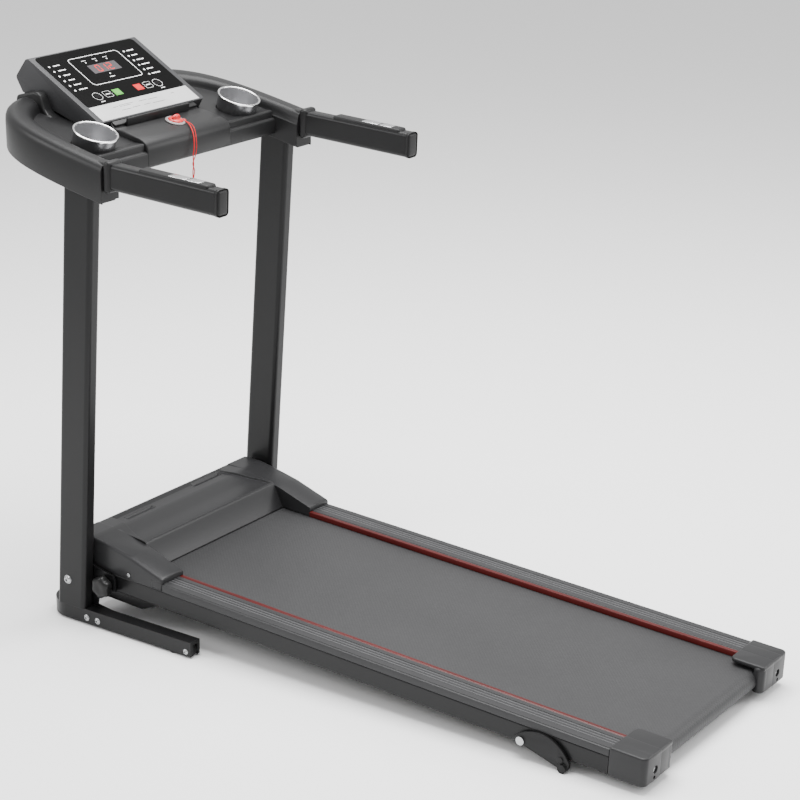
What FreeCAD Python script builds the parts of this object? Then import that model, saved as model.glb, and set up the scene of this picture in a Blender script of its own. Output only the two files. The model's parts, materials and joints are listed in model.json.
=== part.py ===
import FreeCAD, Part
import math
import os
import Sketcher
from FreeCAD import Placement, Rotation, Vector

# Folding home treadmill. Millimetres; +X is the walker's right, +Y the walking direction (console end),
# +Z up; the origin is on the floor under the middle of the whole machine.

doc = FreeCAD.newDocument("treadmill")

# ---------------------------------------------------------------- driving dimensions
DIMENSIONS = {
    # stand: uprights, base and handlebars
    "column_y": 520,          # uprights' centre line where it meets the floor
    "stand_outer": 302,       # outer face of the uprights and arms
    "stand_inner": 272,       # inner face of the uprights and arms
    "column_depth": 70,       # upright tube along Y
    "column_top": 884,        # length of the upright tube along itself, from the floor
    "tube_wall": 2,
    "base_outer": 299,        # outer face of the base's side tubes
    "base_floor": 4,          # underside of the base tubes
    "base_top": 33.2,         # top of the base tubes
    "base_front": 590,        # front face of the base's cross tube
    "base_rear": 217,         # rear end of the base's side tubes, without the end caps
    "base_bend": 55,          # outer bend radius of the base's front corners
    "arm_floor": 887.8,       # underside of the arms above the uprights' centre line
    "arm_height": 48.8,
    "arm_rear": 390,          # how far the arm tubes reach behind the uprights' centre line
    "arm_front": -10,
    "crossbar_low": 878,
    "crossbar_high": 911,
    "crossbar_rear": 440,
    "crossbar_depth": 26,
    # deck, in its own frame: origin on the hinge axis, y along the deck, z square to it
    "pivot_z": 87,
    "pivot_ahead": 1,
    "pivot_radius": 5,
    "deck_half": 262,
    "rail_inner": 200,
    "rail_top": 36,
    "rail_lip": 14,
    "frame_low": -13.5,
    "frame_inner": 231,
    "deck_rear": -1261.7,
    "belt_top": 25,
    "belt_thick": 1.6,
    "belt_half": 210,
    "roller_radius": 17,
    "roller_half": 213,
    "rear_roller_y": -1230,
    "drive_roller_y": -125,
    "board_thick": 15,
    "board_half": 222,
    "cover_wall": 2.5,
    "motor_y": -40,
    "motor_z": 44,
    "motor_radius": 31,
    # console
    "console_y": 530,
    "console_z": 958,
    "face_high_half": 156,
    "face_length": 210,
    "tray_half": 309.5,
    "tray_reach": 410,
    "tray_centre": -206.7,
    "tray_deep": 70,
    "tray_rim_z": 954,
    "tray_band": 43,
    "tray_wall": 3,
    "cup_x": 207,
    "cup_radius": 43.5,
    "cup_depth": 48,
    # strut, incline feet and wheels
    "strut_x": 246,
    "strut_stand_y": 497,
    "strut_stand_z": 47,
    "strut_deck_y": -398,
    "strut_deck_z": -31,
    "foot_pivot_y": -1021.5,
    "foot_pivot_z": -4.6,
    "wheel_y": 227,
    "wheel_radius": 12,
}
DECK_TILT = 2.662
COLUMN_LEAN = 4.318
ARM_RISE = 2.8
TRAY_RISE = 11.64
FACE_TILT = 29.8
SIDES = {"left": -1, "right": 1}

sheet = doc.addObject("Spreadsheet::Sheet", "dims")
for row, (alias, number) in enumerate(DIMENSIONS.items(), start=1):
    sheet.set(f"A{row}", alias)
    sheet.set(f"B{row}", str(number))
    sheet.setAlias(f"B{row}", alias)
doc.recompute()


class Size:
    """A length that remembers how it follows from the sheet's cells."""

    def __init__(self, value, text):
        self.value = float(value)
        self.text = text

    def __add__(self, other):
        other = as_size(other)
        return Size(self.value + other.value, f"({self.text} + {other.text})")

    def __sub__(self, other):
        other = as_size(other)
        return Size(self.value - other.value, f"({self.text} - {other.text})")

    def __mul__(self, factor):
        factor = as_size(factor)
        return Size(self.value * factor.value, f"({self.text} * {factor.text})")

    def __radd__(self, other):
        return as_size(other) + self

    def __rsub__(self, other):
        return as_size(other) - self

    def __rmul__(self, factor):
        return as_size(factor) * self

    def __neg__(self):
        return Size(-self.value, f"(0 - {self.text})")

    def __float__(self):
        return self.value


def as_size(thing):
    return thing if isinstance(thing, Size) else Size(thing, f"({float(thing):g})")


class Cells:
    """The sheet's cells, each readable by its alias as a Size."""

    def __getattr__(self, alias):
        return Size(getattr(sheet, alias), f"dims.{alias}")


d = Cells()


def bind(obj, prop, size):
    """Give a property its value and, where it comes from the sheet, its expression."""
    size = as_size(size)
    if "dims." in size.text:
        obj.setExpression(prop, size.text)
    else:
        setattr(obj, prop, size.value)


def bind_place(obj, corner, turn=None):
    obj.Placement = Placement(Vector(*[float(c) for c in corner]), turn or Rotation())
    for axis, part in zip("xyz", corner):
        if "dims." in as_size(part).text:
            obj.setExpression(f"Placement.Base.{axis}", part.text)


def box(name, low, high):
    """A Part box between two corners."""
    solid = doc.addObject("Part::Box", name)
    for prop, first, last in zip(("Length", "Width", "Height"), low, high):
        bind(solid, prop, as_size(last) - first)
    bind_place(solid, low)
    return solid


ALONG = {"x": Rotation(Vector(0, 1, 0), 90), "y": Rotation(Vector(1, 0, 0), -90), "z": Rotation()}


def rod(name, start, radius, length, axis="x"):
    """A Part cylinder from a start point along +X, +Y or +Z."""
    solid = doc.addObject("Part::Cylinder", name)
    bind(solid, "Radius", radius)
    bind(solid, "Height", length)
    bind_place(solid, start, ALONG[axis])
    return solid


def cone(name, start, radius, end_radius, length, axis="x"):
    solid = doc.addObject("Part::Cone", name)
    bind(solid, "Radius1", radius)
    bind(solid, "Radius2", end_radius)
    bind(solid, "Height", length)
    bind_place(solid, start, ALONG[axis])
    return solid


def cut(name, base, *tools):
    """The base without each tool in turn."""
    for number, tool in enumerate(tools):
        result = doc.addObject("Part::Cut", f"{name}_cut{number}")
        result.Base = base
        result.Tool = tool
        base = result
    return base


def fuse(name, *solids):
    result = doc.addObject("Part::MultiFuse", f"{name}_fused")
    result.Shapes = list(solids)
    result.Refine = True
    return result


def rounded(name, base, radius, wanted):
    """The base with a round on every edge that the wanted test picks."""
    doc.recompute()
    result = doc.addObject("Part::Fillet", f"{name}_rounded")
    result.Base = base
    picked = [i for i, edge in enumerate(base.Shape.Edges, start=1) if wanted(edge)]
    result.Edges = [(i, float(radius), float(radius)) for i in picked]
    return result


def runs_along(axis):
    """A test for straight edges along one axis."""
    def test(edge):
        if not isinstance(edge.Curve, Part.Line):
            return False
        return abs(abs(getattr(edge.Curve.Direction, axis)) - 1) < 1e-6
    return test


PLANES = {"yz": "YZ_Plane", "xz": "XZ_Plane", "xy": "XY_Plane"}


def prism(name, plane, outline, depth, start=0, round_radius=0, round_at=()):
    """A PartDesign body: a closed outline on an origin plane, padded square to it.

    round_at lists the outline's corners, by number, whose edges get a round.
    """
    body = doc.addObject("PartDesign::Body", name)
    sketch = body.newObject("Sketcher::SketchObject", f"{name}_outline")
    flat = [f for f in body.Origin.OriginFeatures if f.Role == PLANES[plane]][0]
    sketch.AttachmentSupport = (flat, "")
    sketch.MapMode = "FlatFace"
    sketch.AttachmentOffset = Placement(Vector(0, 0, float(start)), Rotation())
    if isinstance(start, Size) and "dims." in start.text:
        sketch.setExpression("AttachmentOffset.Base.z", start.text)
    corners = [Vector(float(a), float(b), 0) for a, b in outline]
    for number, corner in enumerate(corners):
        sketch.addGeometry(Part.LineSegment(corner, corners[(number + 1) % len(corners)]), False)
    for number in range(len(corners)):
        after = (number + 1) % len(corners)
        sketch.addConstraint(Sketcher.Constraint("Coincident", number, 2, after, 1))
    for number, pair in enumerate(outline):
        for kind, size in zip(("DistanceX", "DistanceY"), pair):
            index = sketch.addConstraint(Sketcher.Constraint(kind, -1, 1, number, 1, float(size)))
            if "dims." in as_size(size).text:
                sketch.setExpression(f"Constraints[{index}]", size.text)
    pad = body.newObject("PartDesign::Pad", f"{name}_pad")
    pad.Profile = sketch
    bind(pad, "Length", depth)
    body.Tip = pad
    if round_radius:
        doc.recompute()
        picked = []
        for number, edge in enumerate(pad.Shape.Edges, start=1):
            ends = [v.Point for v in edge.Vertexes]
            if len(ends) < 2:
                continue
            flat_ends = [sketch.Placement.inverse().multVec(p) for p in ends]
            if abs(flat_ends[0].z - flat_ends[1].z) < 1e-6:
                continue
            for at in round_at:
                if math.hypot(flat_ends[0].x - corners[at].x, flat_ends[0].y - corners[at].y) < 1e-4:
                    picked.append(f"Edge{number}")
        fillet = body.newObject("PartDesign::Fillet", f"{name}_rounds")
        fillet.Base = (pad, picked)
        bind(fillet, "Radius", round_radius)
        body.Tip = fillet
    return body


nodes = []


def node(name, *solids, place=None):
    """One named sub-part, from one or more solids of its own."""
    for namesake in doc.getObjectsByLabel(name):
        namesake.Label = f"{name} solid"
    result = doc.addObject("Part::Compound", f"node_{name}")
    result.Links = list(solids)
    result.Label = name
    result.Placement = place or Placement()
    nodes.append(result)
    return result


def shaped(name, shape):
    """A feature whose shape is made by the Part functions."""
    result = doc.addObject("Part::Feature", name)
    result.Shape = shape
    return result


# ---------------------------------------------------------------- frames of reference
ABOUT_X = Vector(1, 0, 0)
HINGE = Vector(0, float(d.column_y + d.pivot_ahead), float(d.pivot_z))
DECK = Placement(HINGE, Rotation(ABOUT_X, DECK_TILT))
ARMS = Placement(Vector(0, float(d.column_y), float(d.arm_floor)), Rotation(ABOUT_X, ARM_RISE))
TRAY = Placement(Vector(0, float(d.column_y), float(d.tray_rim_z)), Rotation(ABOUT_X, TRAY_RISE))
FACE = Placement(Vector(0, float(d.console_y), float(d.console_z)), Rotation(ABOUT_X, FACE_TILT))


def moved(shape_object, place):
    """A single-link compound that carries a placement of its own."""
    result = doc.addObject("Part::Compound", f"{shape_object.Name}_moved")
    result.Links = [shape_object]
    result.Placement = place
    return result


def both_sides(make):
    """What make(side, sign) returns for the left and then for the right."""
    return [make(side, sign) for side, sign in SIDES.items()]


def across(sign, near, far, y, z):
    """Box corners from X distances near and far on one side, and y and z pairs."""
    xs = (near, far) if sign > 0 else (-as_size(far), -as_size(near))
    return (xs[0], y[0], z[0]), (xs[1], y[1], z[1])


def side_rod(name, sign, near, far, radius, y, z):
    """A rod along X between two distances from the middle, on one side."""
    start = near if sign > 0 else -as_size(far)
    return rod(name, (start, y, z), radius, as_size(far) - near)


# ---------------------------------------------------------------- base, a bent rectangular tube
def u_tube(name, out, rear, front, inner, inner_front, low, high, bend):
    """A U-shaped bar in plan: a rounded block less a rounded block."""
    block = prism(f"{name}_block", "xy", [(-out, rear), (out, rear), (out, front), (-out, front)],
                  as_size(high) - low, start=low, round_radius=bend, round_at=(2, 3))
    space = prism(f"{name}_space", "xy",
                  [(-inner, rear - 9), (inner, rear - 9), (inner, inner_front), (-inner, inner_front)],
                  as_size(high) - low + 4, start=as_size(low) - 2,
                  round_radius=as_size(bend) - (as_size(out) - inner), round_at=(2, 3))
    return cut(name, block, space)


BOLT_HOLE_YS = (450, 478)
BOLT_Z = 16
BOLT_RADIUS = 4
RUNNING = 0.06

base_bar = u_tube("base_bar", d.base_outer, d.base_rear, d.base_front, d.stand_inner,
                  d.base_front - (d.base_outer - d.stand_inner), d.base_floor, d.base_top, d.base_bend)
base_hollow = u_tube("base_hollow", d.base_outer - d.tube_wall, d.base_rear - 5, d.base_front - d.tube_wall,
                     d.stand_inner + d.tube_wall, d.base_front - (d.base_outer - d.stand_inner) + d.tube_wall,
                     d.base_floor + d.tube_wall, d.base_top - d.tube_wall, d.base_bend - d.tube_wall)
base_holes = [side_rod(f"base_hole_{side}_{y}", sign, d.stand_inner - 1, d.base_outer + 1, BOLT_RADIUS, y,
                       BOLT_Z)
              for side, sign in SIDES.items() for y in BOLT_HOLE_YS]




def wheel_slot(name, sign):
    """The space for a transport wheel, open below and behind."""
    low, high = across(sign, d.stand_inner + 7, d.base_outer - 7, (d.base_rear - 4, d.base_rear + 23),
                       (0, 27))
    return box(name, low, high)


wheel_slots = [wheel_slot(f"base_slot_{side}", sign) for side, sign in SIDES.items()]
axle_holes = [side_rod(f"axle_hole_{side}", sign, d.stand_inner - 1, d.base_outer + 1, 3, d.wheel_y,
                       d.wheel_radius + 0.5) for side, sign in SIDES.items()]
node("base_frame", cut("base_tube", base_bar, base_hollow, *base_holes, *wheel_slots, *axle_holes))


def end_cap(side, sign):
    """A moulded plug inside the tube's end, with a flange outside and a fork for its small wheel."""
    wall = d.tube_wall
    low, high = across(sign, d.stand_inner + wall, d.base_outer - wall, (d.base_rear, d.base_rear + 25),
                       (d.base_floor + wall, d.base_top - wall))
    plug = box(f"end_plug_{side}", low, high)
    low, high = across(sign, d.stand_inner, d.base_outer, (d.base_rear - 3, d.base_rear),
                       (d.base_floor, d.base_top))
    flange = rounded(f"end_flange_{side}", box(f"end_flange_{side}", low, high), 1.5, lambda e: (
        abs(e.CenterOfMass.y - float(d.base_rear - 3)) < 1e-3))
    bore = side_rod(f"cap_bore_{side}", sign, d.stand_inner - 1, d.base_outer + 1, 3,
                    d.wheel_y, d.wheel_radius + 0.5)
    return cut(f"end_cap_{side}", fuse(f"end_cap_{side}", plug, flange),
               wheel_slot(f"cap_slot_{side}", sign), bore)


node("base_end_caps", *both_sides(end_cap))

PAD_SPOTS = ((-285.5, 262), (285.5, 262), (-245, 576.5), (245, 576.5))
node("base_foot_pads", *[rounded(f"foot_pad_{n}", rod(f"foot_pad_{n}", (x, y, 0), 11, d.base_floor, "z"), 1,
                                 lambda e: e.CenterOfMass.z < 0.1 and isinstance(e.Curve, Part.Circle))
                         for n, (x, y) in enumerate(PAD_SPOTS)])


def transport_wheel(side, sign):
    near, far = d.stand_inner + 8, d.base_outer - 8
    z = d.wheel_radius + 0.5
    tyre = side_rod(f"wheel_{side}", sign, near, far, d.wheel_radius, d.wheel_y, z)
    tyre = rounded(f"wheel_{side}", tyre, 1.5, lambda e: isinstance(e.Curve, Part.Circle))
    bore = side_rod(f"wheel_bore_{side}", sign, near - 1, far + 1, 3 + RUNNING, d.wheel_y, z)
    node(f"transport_wheel_{side}", cut(f"wheel_{side}", tyre, bore))


both_sides(transport_wheel)


# ---------------------------------------------------------------- uprights and hinge brackets
LEAN = Placement(Vector(0, float(d.column_y), 0), Rotation(ABOUT_X, COLUMN_LEAN))
PIVOT_Y = d.column_y + d.pivot_ahead
KNOB_Y = 444
KNOB_Z = 86
KNOB_PIN = 4
STRUT_PIN = 4
EYE_RADIUS = 8.5
EYE_HALF = 7.5


def upright(side, sign):
    half = d.column_depth * 0.5
    low, high = across(sign, d.stand_inner, d.stand_outer, (-half, half), (10, d.column_top + 30))
    skin = rounded(f"upright_{side}", box(f"upright_skin_{side}", low, high), 9, runs_along("z"))
    wall = d.tube_wall
    low, high = across(sign, d.stand_inner + wall, d.stand_outer - wall,
                       (wall - half, half - wall), (0, d.column_top + 40))
    core = rounded(f"upright_core_{side}", box(f"upright_core_{side}", low, high), 7, runs_along("z"))
    tube = moved(cut(f"upright_{side}", skin, core), LEAN)
    below = box(f"upright_below_{side}", (-400, 300, -50), (400, 800, d.base_top))
    above = moved(box(f"upright_above_{side}", (-400, -300, 0), (400, 300, 200)), ARMS)
    hole = side_rod(f"upright_hole_{side}", sign, d.stand_inner - 5, d.stand_outer + 5, d.pivot_radius,
                    PIVOT_Y, d.pivot_z)
    node(f"upright_{side}", cut(f"upright_trim_{side}", tube, below, above, hole))


both_sides(upright)


def hinge_bracket(side, sign):
    """A plate inside each upright, bolted to the base tube; the left carries the knob, the right a stud."""
    outline = [(531, 8), (531, 118), (486, 118), (430, 106), (426, 96), (426, 72), (468, 60), (474, 36),
               (430, 30),
               (430, 8)]
    start = d.stand_inner - 4 if sign > 0 else -d.stand_inner
    plate = prism(f"bracket_{side}", "yz", outline, 4, start=start, round_radius=3,
                  round_at=(1, 2, 3, 4, 5, 9))
    holes = [side_rod(f"bracket_hole_{side}_{n}", sign, d.stand_inner - 6, d.stand_inner + 6, radius, y, z)
             for n, (radius, y, z) in enumerate([(d.pivot_radius, PIVOT_Y, d.pivot_z)]
                                                + [(BOLT_RADIUS, y, BOLT_Z) for y in BOLT_HOLE_YS])]
    if sign < 0:
        extras = [side_rod("knob_sleeve", sign, d.stand_inner, d.stand_inner + 4, 9, KNOB_Y, KNOB_Z)]
        holes.append(side_rod("knob_bore", sign, d.stand_inner - 6, d.stand_inner + 6, KNOB_PIN + RUNNING,
                              KNOB_Y, KNOB_Z))
    else:
        eye_face, plate_face, tip = d.strut_x + EYE_HALF, d.stand_inner - 4, d.strut_x - EYE_HALF - 3
        extras = [side_rod(f"strut_stud_{part}", sign, near, far, radius, d.strut_stand_y, d.strut_stand_z)
                  for part, near, far, radius in (("collar", eye_face + 0.5, plate_face, 8),
                                                  ("shank", tip, plate_face, STRUT_PIN),
                                                  ("head", tip, tip + 2.5, 7))]
    return cut(f"bracket_{side}", fuse(f"bracket_{side}", plate, *extras), *holes)


node("hinge_brackets", *both_sides(hinge_bracket))


def headed_bolt(name, sign, tip, face, head, radius, head_radius, y, z):
    """A bolt along X: its shank from tip to face, then a round head outside the face."""
    shank = side_rod(f"{name}_shank", sign, tip, face, radius, y, z)
    cap = side_rod(f"{name}_head", sign, face, as_size(face) + head, head_radius, y, z)
    return fuse(name, shank, cap)


pivot_bolts = [headed_bolt(f"pivot_bolt_{side}", sign, d.frame_inner, d.stand_outer, 5, d.pivot_radius, 9,
                           PIVOT_Y, d.pivot_z) for side, sign in SIDES.items()]
node("pivot_bolts", *pivot_bolts)

base_bolts = [headed_bolt(f"base_bolt_{side}_{y}", sign, d.stand_inner - 6, d.base_outer, 2.5, BOLT_RADIUS, 6,
                          y, BOLT_Z) for side, sign in SIDES.items() for y in BOLT_HOLE_YS]
wheel_pins = [headed_bolt(f"wheel_pin_{side}", sign, d.stand_inner, d.base_outer, 2, 3, 5,
                          d.wheel_y, d.wheel_radius + 0.5) for side, sign in SIDES.items()]
sleeve_bolts = [moved(rod(f"sleeve_bolt_{side}_{x}", (sign * x, -127, -d.tray_deep - 3), 4, 3, "z"), TRAY)
                for side, sign in SIDES.items() for x in (280, 294)]
node("frame_bolts", *base_bolts, *wheel_pins, *sleeve_bolts)


def lock_knob():
    """The sprung pull knob: a six-lobed grip on a steel pin."""
    x = -d.stand_inner - 27
    lobes = [rod(f"knob_lobe_{n}", (x, KNOB_Y + 15.5 * math.cos(math.radians(60 * n)),
                                    KNOB_Z + 15.5 * math.sin(math.radians(60 * n))), 6.5,
                                    21) for n in range(6)]
    hub = rod("knob_hub", (x - 2, KNOB_Y, KNOB_Z), 15.5, 24)
    pin = rod("knob_pin", (x + 20, KNOB_Y, KNOB_Z), KNOB_PIN, 12)
    node("lock_knob", fuse("lock_knob", hub, *lobes, pin))


lock_knob()

# ---------------------------------------------------------------- crossbar and handlebars
crossbar_skin = rounded("crossbar", box("crossbar_skin", (-d.stand_inner, d.crossbar_rear, d.crossbar_low),
                                        (d.stand_inner, d.crossbar_rear + d.crossbar_depth, d.crossbar_high)),
                        4, runs_along("x"))
crossbar_core = box("crossbar_core", (-d.stand_inner - 1, d.crossbar_rear + d.tube_wall, d.crossbar_low + 2),
                    (d.stand_inner + 1, d.crossbar_rear + d.crossbar_depth - d.tube_wall,
                     d.crossbar_high - 2))
node("console_crossbar", cut("crossbar", crossbar_skin, crossbar_core))


def handle_arm(side, sign):
    low, high = across(sign, d.stand_inner, d.stand_outer, (-d.arm_rear, d.arm_front), (0, d.arm_height))
    skin = rounded(f"arm_{side}", box(f"arm_skin_{side}", low, high), 8, runs_along("y"))
    low, high = across(sign, d.stand_inner + d.tube_wall, d.stand_outer - d.tube_wall,
                       (-d.arm_rear - 1, d.arm_front + 1), (d.tube_wall, d.arm_height - d.tube_wall))
    core = rounded(f"arm_core_{side}", box(f"arm_core_{side}", low, high), 6, runs_along("y"))
    node(f"handle_arm_{side}", cut(f"arm_{side}", skin, core), place=ARMS)


both_sides(handle_arm)


def arm_cap(side, sign):
    low, high = across(sign, d.stand_inner, d.stand_outer, (-d.arm_rear - 8, -d.arm_rear), (0, d.arm_height))
    cap = rounded(f"arm_cap_{side}", box(f"arm_cap_{side}", low, high), 7.9, runs_along("y"))
    rear = float(-d.arm_rear - 8)
    return rounded(f"arm_cap_edge_{side}", cap, 4, lambda e: abs(e.CenterOfMass.y - rear) < 1e-3)


node("arm_end_caps", *both_sides(arm_cap), place=ARMS)

GRIP_REAR, GRIP_FRONT, GRIP_HIGH = -362, -215, 4


def pulse_grip(side, sign):
    low, high = across(sign, d.stand_inner + 4, d.stand_outer - 4, (GRIP_REAR, GRIP_FRONT),
                       (d.arm_height, d.arm_height + GRIP_HIGH))
    top = float(d.arm_height + GRIP_HIGH)
    plate = rounded(f"grip_{side}", box(f"grip_{side}", low, high), 3,
                    lambda e: e.CenterOfMass.z > top - 1e-3)
    low, high = across(sign, d.stand_inner + 9, d.stand_outer - 9, (GRIP_REAR + 22, GRIP_REAR + 92),
                       (top - 1.5, top + 3))
    return cut(f"grip_{side}", plate, box(f"grip_seat_{side}", low, high))


def pulse_contact(side, sign):
    top = d.arm_height + GRIP_HIGH
    low, high = across(sign, d.stand_inner + 9, d.stand_outer - 9, (GRIP_REAR + 22, GRIP_REAR + 92),
                       (top - 1.5, top + 0.5))
    return box(f"contact_{side}", low, high)


node("pulse_housings", *both_sides(pulse_grip), place=ARMS)
node("pulse_sensors", *both_sides(pulse_contact), place=ARMS)

# ---------------------------------------------------------------- console tray, the bow in front
TRAY_POWER = 4.46
SLEEVE_REAR = -136
TRAY_REAR = -61
RECESS = 18


def bow_face(inset, rear):
    """A superellipse in plan, inset from the tray's outline and cut square at the rear."""
    half, reach, centre = d.tray_half.value - inset, d.tray_reach.value - inset, d.tray_centre.value
    start = math.asin(((rear - centre) / reach) ** (TRAY_POWER / 2))
    points = []
    for step in range(41):
        angle = start + (math.pi - 2 * start) * step / 40
        side = math.copysign(abs(math.cos(angle)) ** (2 / TRAY_POWER), math.cos(angle))
        points.append(Vector(half * side, centre + reach * math.sin(angle) ** (2 / TRAY_POWER), 0))
    curve = Part.BSplineCurve()
    curve.interpolate(points)
    return Part.Face(Part.Wire([curve.toShape(), Part.makeLine(points[-1], points[0])]))


def bow(inset, rear, low, high):
    """The outline raised plumb, so its walls stand upright although the tray slopes."""
    plumb = Vector(0, math.tan(math.radians(TRAY_RISE)), 1)
    face = bow_face(inset, rear)
    face.translate(plumb * low)
    return face.extrude(plumb * (high - low))


def slab(half, rear, front, low, high):
    return Part.makeBox(2 * half, front - rear, high - low, Vector(-half, rear, low))


doc.recompute()
deep, wall, band = d.tray_deep.value, d.tray_wall.value, d.tray_band.value
cavity_half = d.stand_inner.value - 6
tray = bow(0, SLEEVE_REAR, -deep, 0)
tray = tray.cut(slab(cavity_half, SLEEVE_REAR - 30, TRAY_REAR, -deep - 1, 1))
tray = tray.cut(bow(band, TRAY_REAR - 1, -RECESS, 1))
side_cavity = bow(wall, SLEEVE_REAR + wall, -deep - 1, -wall)
middle = bow(band - wall, TRAY_REAR - 60, -RECESS - wall, 1).fuse(
    slab(cavity_half + wall, SLEEVE_REAR - 30, TRAY_REAR + wall, -deep - 2, 1))
tray = tray.cut(side_cavity.cut(middle))


def blocks_in_tray(place, y_low, y_high, low, high):
    """The arm or upright outline on both sides, as plain blocks seen in the tray's frame."""
    blocks = []
    inner, outer = d.stand_inner.value, d.stand_outer.value
    for x in (-outer, inner):
        block = Part.makeBox(outer - inner, y_high - y_low, high - low, Vector(x, y_low, low))
        block.Placement = TRAY.inverse().multiply(place)
        blocks.append(block)
    return blocks


arm_blocks = blocks_in_tray(ARMS, -400, d.arm_front.value, 0, d.arm_height.value)
column_half = d.column_depth.value / 2
column_blocks = blocks_in_tray(LEAN, -column_half, column_half, 800, 892)
crossbar_block = Part.makeBox(600, d.crossbar_depth.value, 38,
                              Vector(-300, d.crossbar_rear.value, d.crossbar_low.value))
crossbar_block.Placement = TRAY.inverse()

HOUSING_PROFILE = ((0, 0), (d.face_length, 0), (d.face_length + 7, -49), (189, -65), (15, -30), (0, -18))
housing_block = prism("housing_block", "yz", HOUSING_PROFILE, 2 * d.face_high_half - 8,
                      start=4 - d.face_high_half)
doc.recompute()
housing_in_tray = housing_block.Shape.copy()
housing_in_tray.Placement = TRAY.inverse().multiply(FACE)

CUP_TILT = 14
CUP_FLOOR_RADIUS = 25
CUP_WALL = 2


def cup_place(sign):
    return Placement(Vector(sign * d.cup_x.value, d.column_y.value - 31.5, 957), Rotation(ABOUT_X, CUP_TILT))


tray = tray.cut(Part.makeCompound([*arm_blocks, *column_blocks, crossbar_block, housing_in_tray]))
for sign in SIDES.values():
    cup_hole = Part.makeCone(CUP_FLOOR_RADIUS, d.cup_radius.value - 4, d.cup_depth.value - 2,
                             Vector(0, 0, -d.cup_depth.value))
    cup_hole.Placement = TRAY.inverse().multiply(cup_place(sign))
    tray = tray.cut(cup_hole)
node("console_tray", shaped("tray_shell", max(tray.Solids, key=lambda s: s.Volume)), place=TRAY)

lower = bow(wall + 0.2, SLEEVE_REAR + wall + 0.2, -deep, -deep + wall)
lower = lower.cut(slab(cavity_half + wall, SLEEVE_REAR - 30, TRAY_REAR + wall, -deep - 1, 1))
lower = lower.cut(Part.makeCompound([*column_blocks, crossbar_block]))
behind_bar = Part.makeBox(2 * cavity_half, 60, 200, Vector(-cavity_half, d.crossbar_rear.value - 30, 800))
behind_bar.Placement = TRAY.inverse()
lower = lower.cut(behind_bar)
node("console_lower_shell", shaped("lower_shell", max(lower.Solids, key=lambda s: s.Volume)), place=TRAY)

# ---------------------------------------------------------------- console
SKIRT_HALF = 122
SKIRT_PROFILE = ((460, 911), (460, 933), (490, 941), (501, 943.5), (522, 944.5), (530.6, 955.5),
                 (537.6, 943.2),
                 (538.5, 941), (463.6, 925.2), (463.6, 911))
KEY_X, KEY_Y, KEY_Z = 13, 487, 940.2
KEY_PLACE = Placement(Vector(KEY_X, KEY_Y, KEY_Z), Rotation(ABOUT_X, math.degrees(math.atan2(8, 30))))

skirt_block = prism("skirt_block", "yz", SKIRT_PROFILE, 2 * SKIRT_HALF, start=-SKIRT_HALF)
skirt_core = prism("skirt_core", "yz", ((463, 905), (463, 930.5), (491, 938), (502, 940.5), (521, 941.5),
                                        (534, 941.8), (536, 935)), 2 * SKIRT_HALF - 5, start=2.5 - SKIRT_HALF)
socket = moved(cut("key_socket", rod("socket_ring", (0, 0, -2), 17.5, 2.6, "z"),
                   rod("socket_bore", (0, 0, -1), 14.5, 3, "z")), KEY_PLACE)
socket_seat = moved(rod("socket_seat", (0, 0, -2), 17.5, 30, "z"), KEY_PLACE)
socket_floor = moved(rod("socket_floor", (0, 0, -2), 14.5, 1, "z"), KEY_PLACE)
node("console_skirt", fuse("console_skirt", cut("skirt_shell", skirt_block, skirt_core, socket_seat),
                           socket, socket_floor))

LEDGE_HALF = 90
node("tablet_ledge", prism("tablet_ledge", "yz", ((517.5, 944.3), (522, 944.5), (519.5, 960.5), (515.5, 960)),
                           2 * LEDGE_HALF, start=-LEDGE_HALF))


def safety_key():
    """The magnet key: a thick disc with a raised grip and an eye for its lanyard."""
    disc = rounded("key_disc", rod("key_disc", (0, 0, -0.8), 14.2, 7.8, "z"), 1.5,
                   lambda e: isinstance(e.Curve, Part.Circle) and e.CenterOfMass.z > 5)
    grip = rounded("key_grip", box("key_grip", (-11, -5, 6.5), (11, 5, 15)), 3,
                   lambda e: e.CenterOfMass.z > 14.9)
    eye = cut("key_eye", box("key_eye_block", (9, -13, 1), (18, -4, 6)),
              rod("key_eye_hole", (14, -9, 0), 2, 8, "z"))
    node("safety_key", fuse("safety_key", disc, grip, eye), place=KEY_PLACE)


safety_key()

# Face frame: x across, y up the sloping face, z square to it.
OVERLAY_LOW, OVERLAY_HIGH, OVERLAY_HALF = 44.5, 203, 139
KEY_ROW_Y = 69
KEY_SIZE = 14
KEYS = {"circle_left": -90, "mode": -62, "start": -35, "stop": 26, "program": 53, "circle_right": 81}
KEY_GAP = 0.4


def key_holes(name, gap, low, high):
    half = KEY_SIZE / 2 + gap
    return [box(f"{name}_{key}", (x - half, KEY_ROW_Y - half * 0.8, low),
                (x + half, KEY_ROW_Y + half * 0.8, high))
            for key, x in KEYS.items()]


housing_skin = rounded("housing", housing_block, 8, lambda e: (
    runs_along("x")(e) and e.CenterOfMass.y > float(d.face_length) - 1))
housing_core = prism("housing_core", "yz", ((3, -3), (d.face_length - 3, -3), (d.face_length + 3, -47.5),
                                            (187.5, -61), (15, -27), (3, -16.5)),
                     2 * d.face_high_half - 13, start=6.5 - d.face_high_half)
window = box("display_opening", (-42, 126, -4), (42, 157, 1))
housing = cut("console_housing", housing_skin, housing_core, window,
              *key_holes("housing_hole", KEY_GAP, -4, 1))
node("console_housing", housing, place=FACE)

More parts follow.
